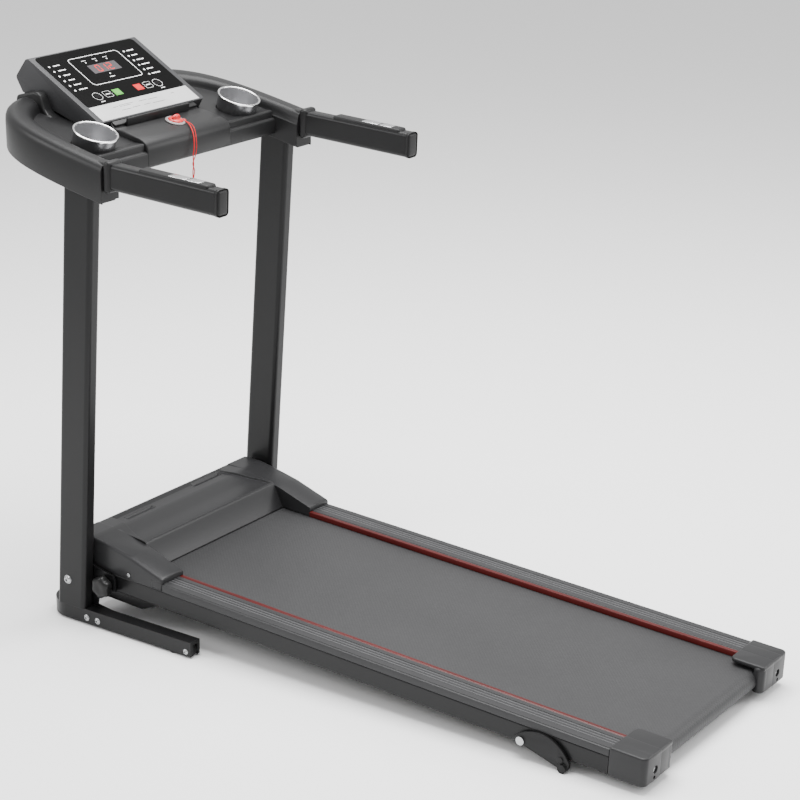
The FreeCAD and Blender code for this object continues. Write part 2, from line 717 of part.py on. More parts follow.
OVERLAY_THICK = 0.8
overlay = rounded("overlay", box("overlay_sheet", (-OVERLAY_HALF, OVERLAY_LOW, 0),
                                 (OVERLAY_HALF, OVERLAY_HIGH, OVERLAY_THICK)), 9, runs_along("z"))
node("console_overlay", cut("console_overlay", overlay, *key_holes("overlay_hole", KEY_GAP, -1, 2)),
     place=FACE)
node("trim_strip", box("trim_strip", (-OVERLAY_HALF, 3, 0), (OVERLAY_HALF, OVERLAY_LOW, 0.6)), place=FACE)
board = box("console_board", (-125, 50, -9.5), (125, 196, -7.9))
display = box("display_block", (-40, 128, -7.9), (40, 155, -0.5))
node("console_board", fuse("console_board", board, display), place=FACE)

for key, x in KEYS.items():
    half = KEY_SIZE / 2
    cap = box(f"cap_{key}", (x - half, KEY_ROW_Y - half * 0.8, -3.4), (x + half, KEY_ROW_Y + half * 0.8, 1.2))
    node(f"key_{key}", rounded(f"cap_{key}", cap, 0.3, lambda e: e.CenterOfMass.z > 1.1), place=FACE)


def cup(sign):
    outer = cone(f"cup_{sign}", (0, 0, -d.cup_depth), CUP_FLOOR_RADIUS, d.cup_radius - 4, d.cup_depth - 2,
                 "z")
    inner = cone(f"cup_space_{sign}", (0, 0, -d.cup_depth + CUP_WALL), CUP_FLOOR_RADIUS - CUP_WALL,
                 d.cup_radius - 6, d.cup_depth, "z")
    return moved(cut(f"cup_{sign}", outer, inner), cup_place(sign))


def cup_rim(sign):
    ring = cut(f"rim_{sign}", rod(f"rim_skin_{sign}", (0, 0, -2), d.cup_radius, 4, "z"),
               rod(f"rim_space_{sign}", (0, 0, -3), d.cup_radius - 5.5, 8, "z"))
    return moved(rounded(f"rim_{sign}", ring, 1.4, lambda e: isinstance(e.Curve, Part.Circle)
                         and e.CenterOfMass.z > 1), cup_place(sign))


node("cup_holders", *[cup(sign) for sign in SIDES.values()])
node("cup_rims", *[cup_rim(sign) for sign in SIDES.values()])

# ---------------------------------------------------------------- lanyard
CORD_RADIUS = 1.1
CORD_ROUTE = ((27, 474.5, 940), (24, 465, 938.8), (19, 456, 936.3), (13, 447, 932), (7, 437.5, 925.5),
              (3, 432, 913), (0.5, 430.3, 898), (-3, 431, 882), (-2, 430, 866), (-5.5, 430.6, 851),
              (-5, 430, 837))
CLIP_TOP = Vector(-5, 430, 837)


def cord_tube(points, radius):
    """A round cord along straight runs joined by arcs that touch them."""
    points = [Vector(*p) for p in points]
    edges, start, length = [], points[0], 0
    for before, corner, after in zip(points, points[1:], points[2:]):
        back, ahead = before - corner, after - corner
        turn = math.pi - back.getAngle(ahead)
        reach = 0.45 * min(back.Length, ahead.Length)
        arc_radius = reach / math.tan(turn / 2)
        print(f"cord bend radius {arc_radius:.1f}")
        back.normalize()
        ahead.normalize()
        first, last = corner + back * reach, corner + ahead * reach
        inward = (back + ahead)
        inward.normalize()
        middle = corner + inward * (math.hypot(arc_radius, reach) - arc_radius)
        edges += [Part.makeLine(start, first), Part.Arc(first, middle, last).toShape()]
        start = last
    edges.append(Part.makeLine(start, points[-1]))
    wire = Part.Wire(edges)
    ring = Part.Wire(Part.makeCircle(radius, points[0], points[1] - points[0]))
    tube = wire.makePipeShell([ring], True, False)
    print(f"cord length {wire.Length:.1f}, "
          f"volume ratio {tube.Volume / (wire.Length * math.pi * radius ** 2):.4f}")
    return tube


node("lanyard_cord", shaped("lanyard_tube", cord_tube(CORD_ROUTE, CORD_RADIUS)))

clip_x, clip_y, clip_z = CLIP_TOP
clip_body = rounded("clip_body", box("clip_body", (clip_x - 5.5, clip_y - 2.5, clip_z - 30),
                                     (clip_x + 5.5, clip_y + 2.5, clip_z)), 1.2, lambda e: True)
node("lanyard_clip", clip_body)

# ---------------------------------------------------------------- deck frame (deck's own frame from here on)
FRAME_REAR, FRAME_FRONT = -1189.8, 8
COVER_FOOT = -205.5
RAIL_REAR, RAIL_FRONT = -1190, COVER_FOOT + 2
CROSSMEMBER_YS = (-1120, -800, -480, -200)
AXLE_RADIUS = 8
frame_high = d.rail_top - d.rail_lip - 0.5
belt_axis_z = d.belt_top - d.belt_thick - 0.3 - d.roller_radius
board_top = d.belt_top - d.belt_thick - 0.2
board_low = board_top - d.board_thick
frame_outer = d.deck_half - 1


def side_member(side, sign):
    low, high = across(sign, d.frame_inner, frame_outer, (FRAME_REAR, FRAME_FRONT), (d.frame_low, frame_high))
    skin = rounded(f"member_{side}", box(f"member_{side}", low, high), 3, runs_along("y"))
    low, high = across(sign, d.frame_inner + 2, frame_outer - 2, (FRAME_REAR - 1, FRAME_FRONT + 1),
                       (d.frame_low + 2, frame_high - 2))
    tube = cut(f"member_{side}", skin, box(f"member_core_{side}", low, high))
    low, high = across(sign, d.frame_inner, d.frame_inner + 5, (-1246, FRAME_REAR + 1), (-9, frame_high))
    tail = box(f"member_tail_{side}", low, high)
    bush = side_rod(f"bush_{side}", sign, d.frame_inner, d.deck_half + 4, 10, 0, 0)
    bore = side_rod(f"bush_bore_{side}", sign, d.frame_inner - 1, d.deck_half + 5, d.pivot_radius + RUNNING,
                    0, 0)
    return cut(f"side_member_{side}", fuse(f"side_member_{side}", tube, tail, bush), bore)


def crossmember(y):
    skin = box(f"crossmember_{-y}", (-d.frame_inner, y - 20, -8.5), (d.frame_inner, y + 20, board_low - 4))
    core = box(f"crossmember_core_{-y}", (-d.frame_inner - 1, y - 18.5, -7), (d.frame_inner + 1, y + 18.5,
                                                                             board_low - 5.5))
    return cut(f"crossmember_{-y}", skin, core)


MOTOR_FEET = ((80, 92), (176, 188))


def motor_saddle(x_low, x_high):
    block = box(f"saddle_{x_low}", (x_low, -62, 7), (x_high, -18, 20))
    return cut(f"saddle_{x_low}", block, rod(f"saddle_bed_{x_low}", (x_low - 1, d.motor_y, d.motor_z),
                                             d.motor_radius, x_high - x_low + 2))


motor_plate = box("motor_plate", (-d.frame_inner, -92, 4), (d.frame_inner, 5, 7))
plate_gap = box("motor_plate_gap", (205, -93, 0), (229, 6, 12))
EAR_THICK, EAR_HALF = 4, 14
EAR_INNER = EYE_HALF + 1.5
SLOT_HALF, SLOT_DROP = STRUT_PIN + 1.6, 10.5


def strut_ear(number, x_low):
    """A plate under the side member, slotted so that the strut's pin can lag while the deck swings."""
    low = d.strut_deck_z - 19
    plate = box(f"strut_ear_{number}", (x_low, d.strut_deck_y - EAR_HALF, low),
                (x_low + EAR_THICK, d.strut_deck_y + EAR_HALF, d.frame_low))
    plate = rounded(f"strut_ear_{number}", plate, 6, lambda e: (
        runs_along("x")(e) and abs(e.CenterOfMass.z - float(low)) < 1e-6))
    ends = [rod(f"ear_slot_{number}_{end}", (x_low - 1, d.strut_deck_y, z), SLOT_HALF, EAR_THICK + 2)
            for end, z in (("top", d.strut_deck_z), ("low", d.strut_deck_z - SLOT_DROP))]
    middle = box(f"ear_slot_{number}", (x_low - 1, d.strut_deck_y - SLOT_HALF, d.strut_deck_z - SLOT_DROP),
                 (x_low + EAR_THICK + 1, d.strut_deck_y + SLOT_HALF, d.strut_deck_z))
    return cut(f"strut_ear_{number}", plate, *ends, middle)


strut_ears = [strut_ear("outer", d.strut_x - EAR_INNER - EAR_THICK),
              strut_ear("inner", d.strut_x + EAR_INNER)]
deck_frame = fuse("deck_frame", *both_sides(side_member), *[crossmember(y) for y in CROSSMEMBER_YS],
                  cut("motor_plate", motor_plate, plate_gap), *[motor_saddle(*pair) for pair in MOTOR_FEET],
                  *strut_ears)
node("deck_frame", deck_frame, place=DECK)

node("board_cushions", *[box(f"cushion_{side}_{-y}", (sign * 195 - 15, y - 15, board_low - 4),
                             (sign * 195 + 15, y + 15, board_low))
                         for side, sign in SIDES.items() for y in CROSSMEMBER_YS], place=DECK)
node("running_board", box("running_board", (-d.board_half, -1195, board_low),
                          (d.board_half, -152, board_top)),
     place=DECK)


def side_rail(side, sign):
    """An extruded tread: a ribbed top, an outer lip over the frame and an inner edge beside the belt."""
    top, lip = d.rail_top, d.rail_top - d.rail_lip
    outer, inner = d.deck_half, d.rail_inner
    outline = [(inner, top), (outer, top), (outer, lip), (outer - 2.5, lip), (outer - 2.5, top - 3),
               (inner + 2.5, top - 3), (inner + 2.5, d.belt_top + 1), (inner, d.belt_top + 1)]
    outline = outline if sign > 0 else [(-as_size(x), z) for x, z in reversed(outline)]
    shell = prism(f"rail_{side}", "xz", outline, RAIL_FRONT - RAIL_REAR, start=-RAIL_FRONT)
    ribs = []
    for number, offset in enumerate((8, 19, 30, 41)):
        low, high = across(sign, inner + offset, inner + offset + 4, (RAIL_REAR, RAIL_FRONT),
                           (top, top + 0.8))
        ribs.append(box(f"rail_rib_{side}_{number}", low, high))
    low, high = across(sign, d.frame_inner + 8, d.frame_inner + 11, (RAIL_REAR, RAIL_FRONT),
                       (frame_high, top - 3))
    web = box(f"rail_web_{side}", low, high)
    node(f"side_rail_{side}", fuse(f"side_rail_{side}", shell, web, *ribs), place=DECK)


both_sides(side_rail)


# ---------------------------------------------------------------- belt, rollers and drive
def loop_belt(name, radius, half):
    """A closed flat band round both rollers."""
    rear, front = d.rear_roller_y, d.drive_roller_y
    low, width = -as_size(half), 2 * as_size(half)
    flat = box(f"{name}_flat", (low, rear, belt_axis_z - radius), (low + width, front, belt_axis_z + radius))
    return fuse(name, flat, rod(f"{name}_rear", (low, rear, belt_axis_z), radius, width),
                rod(f"{name}_front", (low, front, belt_axis_z), radius, width))


belt_inner = d.roller_radius + 0.3
node("running_belt", cut("running_belt", loop_belt("belt_skin", belt_inner + d.belt_thick, d.belt_half),
                         loop_belt("belt_space", belt_inner, d.belt_half + 2)), place=DECK)

PULLEY_X, PULLEY_WIDE = 215, 13
PULLEY_RADIUS, MOTOR_PULLEY_RADIUS = 24, 10


def roller(name, y, pulley):
    drum = rod(f"{name}_drum", (-d.roller_half, y, belt_axis_z), d.roller_radius, 2 * d.roller_half)
    if pulley:
        hub = rod(f"{name}_hub", (d.roller_half, y, belt_axis_z), d.roller_radius - 1, 3)
        wheel = rod(f"{name}_pulley", (PULLEY_X, y, belt_axis_z), PULLEY_RADIUS, PULLEY_WIDE)
        drum = fuse(name, drum, hub, wheel)
    bore = rod(f"{name}_bore", (-d.frame_inner, y, belt_axis_z), AXLE_RADIUS + RUNNING, 2 * d.frame_inner)
    node(name, cut(name, drum, bore), place=DECK)


roller("drive_roller", d.drive_roller_y, True)
roller("rear_roller", d.rear_roller_y, False)
node("roller_axles", *[rod(f"axle_{name}", (-d.frame_inner, y, belt_axis_z), AXLE_RADIUS, 2 * d.frame_inner)
                       for name, y in (("drive", d.drive_roller_y), ("rear", d.rear_roller_y))], place=DECK)

SHAFT_RADIUS = 5
CAN_LOW, CAN_HIGH = 70, 200
can = rod("motor_can", (CAN_LOW, d.motor_y, d.motor_z), d.motor_radius, CAN_HIGH - CAN_LOW)
can = rounded("motor_can", can, 3, lambda e: isinstance(e.Curve, Part.Circle))
can_space = rod("motor_space", (CAN_LOW + 6, d.motor_y, d.motor_z), d.motor_radius - 4,
                CAN_HIGH - CAN_LOW - 12)
can_bore = rod("motor_bore", (CAN_LOW - 5, d.motor_y, d.motor_z), SHAFT_RADIUS + RUNNING,
               CAN_HIGH - CAN_LOW + 10)
node("motor_can", cut("motor_can", can, can_space, can_bore), place=DECK)
rotor = fuse("motor_rotor",
             rod("rotor_shaft", (46, d.motor_y, d.motor_z), SHAFT_RADIUS, PULLEY_X + PULLEY_WIDE - 46),
             rod("rotor_core", (CAN_LOW + 20, d.motor_y, d.motor_z), d.motor_radius - 8,
                 CAN_HIGH - CAN_LOW - 40),
             rod("rotor_pulley", (PULLEY_X, d.motor_y, d.motor_z), MOTOR_PULLEY_RADIUS, PULLEY_WIDE),
             rod("rotor_fan", (50, d.motor_y, d.motor_z), d.motor_radius - 4, 14))
node("motor_rotor", rotor, place=DECK)


def taut_band(big, big_radius, small, small_radius):
    """The outline of a band pulled tight round two circles in the y-z plane."""
    gap = small - big
    lean = math.acos((big_radius - small_radius) / gap.Length)
    heading = math.atan2(gap.z, gap.y)

    def on(centre, radius, angle):
        return centre + Vector(0, radius * math.cos(angle), radius * math.sin(angle))
    up, down = heading + lean, heading - lean
    edges = [Part.makeLine(on(big, big_radius, up), on(small, small_radius, up)),
             Part.Arc(on(small, small_radius, up), on(small, small_radius, heading),
                      on(small, small_radius, down)).toShape(),
             Part.makeLine(on(small, small_radius, down), on(big, big_radius, down)),
             Part.Arc(on(big, big_radius, down), on(big, big_radius, heading + math.pi),
                      on(big, big_radius, up)).toShape()]
    return Part.Face(Part.Wire(edges))


big_centre = Vector(PULLEY_X + 1, d.drive_roller_y.value, belt_axis_z.value)
small_centre = Vector(PULLEY_X + 1, d.motor_y.value, d.motor_z.value)
bands = [taut_band(big_centre, PULLEY_RADIUS + gap, small_centre, MOTOR_PULLEY_RADIUS + gap).extrude(
    Vector(PULLEY_WIDE - 2, 0, 0)) for gap in (2.2, 0.3)]
node("drive_belt", shaped("drive_band", bands[0].cut(bands[1])), place=DECK)

# ---------------------------------------------------------------- motor cover, pan and electrics
COVER_FRONT = 15
RIDGE_Y, RIDGE_Z = -109.6, 75.2
FASCIA_Y, FASCIA_Z = -134, 30
COVER_TOP = ((COVER_FRONT, 82.4), (-28, 83.4), (-73.5, 76.5), (-125, 66.9), (-176, 52.2), (-203, 44.5))
COVER_UNDER = ((COVER_FRONT - 2.5, 79.9), (-28, 80.9), (-73, 74), (-124.3, 64.4), (-175.3, 49.8),
               (-202.6, 42))
cover_low = d.rail_top - d.rail_lip
rail_clear = d.rail_top + 1

cover_skin = prism("cover_skin", "yz",
                   [(COVER_FOOT, rail_clear), *reversed(COVER_TOP), (COVER_FRONT, cover_low),
                                        (RAIL_FRONT + 0.5, cover_low), (RAIL_FRONT + 0.5, rail_clear)],
                   2 * d.deck_half, start=-d.deck_half)
cover_core = prism("cover_core", "yz", [(COVER_FOOT + 2.5, rail_clear - 1), *reversed(COVER_UNDER),
                                        (COVER_FRONT - 2.5, cover_low - 1), (RAIL_FRONT + 2.5, cover_low - 1),
                                        (RAIL_FRONT + 2.5, rail_clear - 1)],
                   2 * d.deck_half - 2 * d.cover_wall, start=d.cover_wall - d.deck_half)
middle_half = d.rail_inner
behind_fascia = prism("behind_fascia", "yz", [(COVER_FOOT - 5, 0), (FASCIA_Y, 0), (FASCIA_Y, FASCIA_Z),
                                              (RIDGE_Y, RIDGE_Z), (RIDGE_Y, 95), (COVER_FOOT - 5, 95)],
                      2 * middle_half, start=-middle_half)
fascia = prism("fascia", "yz", [(FASCIA_Y, FASCIA_Z), (FASCIA_Y + 3, FASCIA_Z), (RIDGE_Y + 3, RIDGE_Z - 1),
                                (RIDGE_Y, RIDGE_Z)], 2 * middle_half, start=-middle_half)


def wing_wall(side, sign):
    """The inner wall of each wing, from the rail or belt up to the cover's top."""
    start = middle_half if sign > 0 else -middle_half - 2.5
    outline = [(COVER_FOOT, rail_clear), (-203, 44), (-176, 51.7), (-125, 66.4), (RIDGE_Y, 69.3),
               (RIDGE_Y, 27),
               (RAIL_FRONT + 0.5, 27), (RAIL_FRONT + 0.5, rail_clear)]
    return prism(f"wing_wall_{side}", "yz", outline, 2.5, start=start)


cover = fuse("motor_cover", cut("cover_shell", cover_skin, cover_core, behind_fascia), fascia,
             *both_sides(wing_wall))
INLET_LOW, INLET_HIGH = 160, 190
SWITCH_X = 205
belt_ways = []
for side, sign in SIDES.items():
    low, high = across(sign, 199, 229, (COVER_FOOT - 1, -100), (0, 27))
    belt_ways.append(box(f"cover_belt_way_{side}", low, high))
electric_holes = [box("inlet_hole", (INLET_LOW, 0, 36), (INLET_HIGH, 30, 58)),
                  box("switch_hole", (SWITCH_X, 0, 34), (SWITCH_X + 18, 30, 60))]
node("motor_cover", cut("motor_cover", cover, *belt_ways, *electric_holes), place=DECK)

PAN_LEFT, PAN_RIGHT, PAN_REAR = -256, 232, -190
PAN_INNER, PAN_LOW, PAN_WALL = 230.8, -34, 2


def pan_profile(shrink):
    """The pan's side view: a flat bottom that tapers up to its rear edge."""
    return ((COVER_FRONT - shrink, PAN_LOW + shrink), (-150, PAN_LOW + shrink), (PAN_REAR + shrink, -16),
            (PAN_REAR + shrink, d.frame_low - 0.2), (COVER_FRONT - shrink, d.frame_low - 0.2))


pan_skin = prism("pan_skin", "yz", pan_profile(0), PAN_RIGHT - PAN_LEFT, start=PAN_LEFT)
pan_core = prism("pan_core", "yz", [(y, z) if float(z) < -14 else (y, 0) for y, z in pan_profile(PAN_WALL)],
                 PAN_RIGHT - PAN_LEFT - 2 * PAN_WALL, start=PAN_LEFT + PAN_WALL)
front_lip = box("pan_front_lip", (-PAN_INNER, COVER_FRONT - 2.5, d.frame_low - 2),
                (PAN_INNER, COVER_FRONT, cover_low))
node("belly_pan", fuse("belly_pan", cut("belly_pan", pan_skin, pan_core), front_lip), place=DECK)

controller = rounded("controller", box("controller", (-190, -88, 7), (-30, -20, 42)), 3, runs_along("z"))
fins = [box(f"controller_fin_{n}", (-180 + 16 * n, -80, 42), (-176 + 16 * n, -28, 50)) for n in range(9)]
node("motor_controller", fuse("motor_controller", controller, *fins), place=DECK)

inlet_flange = box("inlet_flange", (INLET_LOW - 4, COVER_FRONT, 33), (INLET_HIGH + 4, COVER_FRONT + 2, 61))
inlet_body = box("inlet_body", (INLET_LOW, -6, 36), (INLET_HIGH, COVER_FRONT + 1, 58))
inlet_well = box("inlet_well", (INLET_LOW + 3, -3, 39), (INLET_HIGH - 3, COVER_FRONT + 3, 55))
blades = [box(f"inlet_blade_{n}", (x, -4, z), (x + 2, 8, z + 5)) for n, (x, z) in
          enumerate(((INLET_LOW + 7, 42), (INLET_LOW + 14, 47), (INLET_LOW + 21, 42)))]
inlet = fuse("power_inlet", cut("power_inlet", fuse("inlet_block", inlet_flange, inlet_body), inlet_well),
             *blades)
switch_frame = cut("switch_frame",
                   box("switch_bezel", (SWITCH_X, 2, 34), (SWITCH_X + 18, COVER_FRONT + 1.5, 60)),
                   box("switch_well", (SWITCH_X + 2, 4, 36), (SWITCH_X + 16, COVER_FRONT + 2, 58)))
node("power_inlet", inlet, switch_frame, place=DECK)
node("power_switch", prism("rocker", "yz", ((6.5, 44), (COVER_FRONT - 1.2, 37.6), (COVER_FRONT, 47),
                                            (COVER_FRONT + 3.5, 55.6), (8, 52)), 13, start=SWITCH_X + 2.5),
                                            place=DECK)


# ---------------------------------------------------------------- rear caps
def rear_cap(side, sign):
    """A moulded end: the rail's end plug, with a lobe that covers the roller's end."""
    half, rear, low, high = d.deck_half + 0.8, d.deck_rear, d.frame_low - 1, 40
    outline = [(half, -1190), (207, -1190), (176, -1195), (167, -1203), (167, rear), (half, rear)]
    inner = [(half - 2.3, -1189), (209, -1189), (178, -1197), (169.5, -1204), (169.5, rear + 2.5),
             (half - 2.3, rear + 2.5)]
    if sign < 0:
        outline = [(-as_size(x), y) for x, y in reversed(outline)]
        inner = [(-as_size(x), y) for x, y in reversed(inner)]
    corner = (5,) if sign > 0 else (0,)
    skin = prism(f"cap_{side}", "xy", outline, high - low, start=low, round_radius=9, round_at=corner)
    top = rounded(f"cap_{side}", skin, 4.5, lambda e: e.CenterOfMass.z > 39.9 and e.CenterOfMass.y < -1190.5)
    space = prism(f"cap_space_{side}", "xy", inner, 37 - (low + 2.5), start=low + 2.5)
    low_corner, high_corner = across(sign, 160, 213, (-1259, -1180), (low - 1, 31))
    belt_way = box(f"cap_belt_way_{side}", low_corner, high_corner)
    bolt_way = rod(f"cap_bolt_way_{side}", (sign * 226, rear - 1, belt_axis_z), 6.5, 6, "y")
    screw_way = rod(f"cap_screw_way_{side}", (sign * 228, rear - 1, -6), 3, 6, "y")
    node(f"rear_cap_{side}", cut(f"rear_cap_{side}", top, space, belt_way, bolt_way, screw_way), place=DECK)


both_sides(rear_cap)

cover_screws = [side_rod(f"cover_screw_{side}", sign, d.deck_half, d.deck_half + 1.8, 4, -122, 32)
                for side, sign in SIDES.items()]
tension_bolts = [fuse(f"tension_bolt_{side}",
                      rod(f"tension_shank_{side}", (sign * 226, -1254, belt_axis_z), 3, 16, "y"),
                      rod(f"tension_head_{side}", (sign * 226, -1259, belt_axis_z), 5.5, 5, "y"))
                 for side, sign in SIDES.items()]
foot_pins = [headed_bolt(f"foot_pin_{side}", sign, frame_outer, d.deck_half + 6.8, 3, 5, 8,
                         d.foot_pivot_y, d.foot_pivot_z) for side, sign in SIDES.items()]
node("deck_screws", *cover_screws, *tension_bolts, *foot_pins, place=DECK)


# ---------------------------------------------------------------- incline feet
def incline_foot(side, sign):
    """A half-moon plate on a pin; its rounded heel stands on the floor and carries the deck."""
    x_low = 262.4 if sign > 0 else -268.4
    points = [Vector(x_low, y, z) for y, z in
              ((-1004, -6), (-1058, 21), (-1119, -16), (-1119, -26), (-1100, -31))]
    wire = Part.Wire([Part.Arc(*points[:3]).toShape(), Part.makeLine(points[2], points[3]),
                      Part.makeLine(points[3], points[4]), Part.makeLine(points[4], points[0])])
    plate = shaped(f"foot_plate_{side}", Part.Face(wire).extrude(Vector(6, 0, 0)))
    heel_y = -1108
    floor_z = -(HINGE.z + heel_y * math.sin(math.radians(DECK_TILT))) / math.cos(math.radians(DECK_TILT))
    heel_radius = 8
    heel = side_rod(f"foot_heel_{side}", sign, 262.4, 274, heel_radius, heel_y,
                    floor_z + heel_radius / math.cos(math.radians(DECK_TILT)))
    lock = side_rod(f"foot_lock_{side}", sign, 268, 271, 6, -1102, -14)
    boss = side_rod(f"foot_boss_{side}", sign, 262.4, 268.8, 11, d.foot_pivot_y, d.foot_pivot_z)
    bore = side_rod(f"foot_bore_{side}", sign, 262, 269, 5 + RUNNING, d.foot_pivot_y, d.foot_pivot_z)
    node(f"incline_foot_{side}",
         cut(f"incline_foot_{side}", fuse(f"incline_foot_{side}", plate, heel, lock, boss),
                                     bore), place=DECK)


both_sides(incline_foot)

# ---------------------------------------------------------------- fold strut, laid between its two pins
low_pin = Vector(float(d.strut_x), float(d.strut_stand_y), float(d.strut_stand_z))
high_pin = DECK.multVec(Vector(float(d.strut_x), float(d.strut_deck_y), float(d.strut_deck_z)))
along = high_pin - low_pin
STRUT = Placement(low_pin, Rotation(ABOUT_X, math.degrees(math.atan2(along.z, along.y))))
STRUT_LENGTH = along.Length
ROD_RADIUS, ROD_END = 6.5, STRUT_LENGTH - 60
PISTON_RADIUS, PISTON_LONG = 8.7, 8
CYLINDER_START, GLAND_LONG = 150, 9
CYLINDER_RADIUS, BORE_RADIUS = 11.5, 8.75


def strut_eye(name, y):
    return rod(f"{name}_eye", (-EYE_HALF, y, 0), EYE_RADIUS, 2 * EYE_HALF)


rod_bar = rod("strut_bar", (0, EYE_RADIUS - 2, 0), ROD_RADIUS, ROD_END - EYE_RADIUS + 2, "y")
piston = rod("strut_piston", (0, ROD_END - PISTON_LONG, 0), PISTON_RADIUS, PISTON_LONG, "y")
rod_bore = rod("strut_rod_bore", (-EYE_HALF - 1, 0, 0), STRUT_PIN + RUNNING, 2 * EYE_HALF + 2)
node("strut_rod", cut("strut_rod", fuse("strut_rod", strut_eye("strut_rod", 0), rod_bar, piston), rod_bore),
     place=STRUT)
cylinder_skin = rod("cylinder_skin", (0, CYLINDER_START, 0), CYLINDER_RADIUS,
                    STRUT_LENGTH - CYLINDER_START - 18, "y")
cylinder_space = rod("cylinder_space", (0, CYLINDER_START + GLAND_LONG, 0), BORE_RADIUS,
                     STRUT_LENGTH - CYLINDER_START - GLAND_LONG - 26, "y")
gland_bore = rod("gland_bore", (0, CYLINDER_START - 1, 0), ROD_RADIUS + RUNNING, GLAND_LONG + 2, "y")
neck = rod("cylinder_neck", (0, STRUT_LENGTH - 20, 0), 6, 16, "y")
trunnion_half = EAR_INNER + EAR_THICK + 2
trunnion = rod("cylinder_trunnion", (-trunnion_half, STRUT_LENGTH, 0), STRUT_PIN, 2 * trunnion_half)
node("strut_cylinder",
     fuse("strut_cylinder", cut("cylinder", cylinder_skin, cylinder_space, gland_bore), neck,
                            strut_eye("cylinder", STRUT_LENGTH), trunnion), place=STRUT)

# ---------------------------------------------------------------- checks and files
doc.recompute()
faults = [item.Name for item in doc.Objects if "Invalid" in item.State or "Error" in item.State]
faults += [part.Label for part in nodes if part.Shape.isNull() or not part.Shape.isValid()]
if faults:
    raise SystemExit(f"not built: {faults}")
os.makedirs("parts", exist_ok=True)
for part in nodes:
    part.Shape.exportStep(f"parts/{part.Label}.step")
print(f"{len(nodes)} nodes, strut {STRUT_LENGTH:.2f} long")
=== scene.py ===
import json
import bpy
from math import asin, atan2, copysign, cos, pi, radians, sin, tan
from mathutils import Euler, Matrix, Vector


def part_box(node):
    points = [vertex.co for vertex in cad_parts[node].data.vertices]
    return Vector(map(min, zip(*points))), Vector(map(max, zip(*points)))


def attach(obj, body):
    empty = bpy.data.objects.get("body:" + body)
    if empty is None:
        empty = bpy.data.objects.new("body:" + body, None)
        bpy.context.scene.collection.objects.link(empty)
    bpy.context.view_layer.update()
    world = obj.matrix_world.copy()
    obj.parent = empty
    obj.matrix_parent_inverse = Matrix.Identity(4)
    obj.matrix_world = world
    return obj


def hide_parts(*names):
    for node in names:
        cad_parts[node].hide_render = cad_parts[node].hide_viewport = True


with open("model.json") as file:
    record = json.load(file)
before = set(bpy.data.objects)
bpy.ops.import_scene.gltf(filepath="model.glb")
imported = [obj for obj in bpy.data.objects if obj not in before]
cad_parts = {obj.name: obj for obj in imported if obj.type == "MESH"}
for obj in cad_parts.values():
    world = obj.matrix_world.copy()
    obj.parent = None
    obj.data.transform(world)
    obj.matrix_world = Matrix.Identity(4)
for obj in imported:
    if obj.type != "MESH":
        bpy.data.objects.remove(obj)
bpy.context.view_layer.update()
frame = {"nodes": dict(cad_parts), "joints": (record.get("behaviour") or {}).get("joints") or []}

bpy.ops.object.select_all(action="DESELECT")
MM = 0.001

# ---------------------------------------------------------------- view
# The camera stands at the machine's rear left, a little above the handlebars, with a long lens.
camera = bpy.data.objects.new("camera", bpy.data.cameras.new("camera"))
bpy.context.scene.collection.objects.link(camera)
camera.data.lens = 101.6
camera.data.clip_end = 50
CAMERA_PLACE = (-3.2267, -2.3303, 1.8443)
CAMERA_TILT, CAMERA_HEADING, CAMERA_ROLL = radians(71.0395), radians(-54.7902), radians(0.2781)
camera.matrix_world = (Matrix.Translation(CAMERA_PLACE)
                       @ Euler((CAMERA_TILT, 0, CAMERA_HEADING)).to_matrix().to_4x4()
                       @ Matrix.Rotation(CAMERA_ROLL, 4, "Z"))
bpy.context.scene.camera = camera

# ---------------------------------------------------------------- studio
# A plain pale floor, an even pale surround and three large soft lamps.
bpy.ops.mesh.primitive_plane_add(size=60)
floor = bpy.context.object
floor.name = "studio_floor"
floor_paper = bpy.data.materials.new("floor_paper")
floor_paper.use_nodes = True
floor_paper.node_tree.nodes["Principled BSDF"].inputs["Base Color"].default_value = (0.9, 0.9, 0.9, 1)
floor_paper.node_tree.nodes["Principled BSDF"].inputs["Roughness"].default_value = 0.9
floor.data.materials.append(floor_paper)

surround = bpy.data.worlds.new("surround")
surround.use_nodes = True
surround.node_tree.nodes["Background"].inputs["Color"].default_value = (1, 1, 1, 1)
surround.node_tree.nodes["Background"].inputs["Strength"].default_value = 1.05
bpy.context.scene.world = surround


def lamp(name, place, aim, size, power):
    light = bpy.data.lights.new(name, "AREA")
    light.shape = "SQUARE"
    light.size = size
    light.energy = power
    holder = bpy.data.objects.new(name, light)
    bpy.context.scene.collection.objects.link(holder)
    holder.location = place
    holder.rotation_euler = (Vector(aim) - Vector(place)).to_track_quat("-Z", "Y").to_euler()


lamp("overhead", (0.3, 0.1, 3.4), (0, 0, 0.2), 2.8, 330)
lamp("rear_right", (2.6, -2.6, 2.0), (0, 0, 0.5), 1.6, 80)
lamp("front_left", (-2.4, 2.6, 2.2), (0, 0.3, 0.6), 1.2, 50)


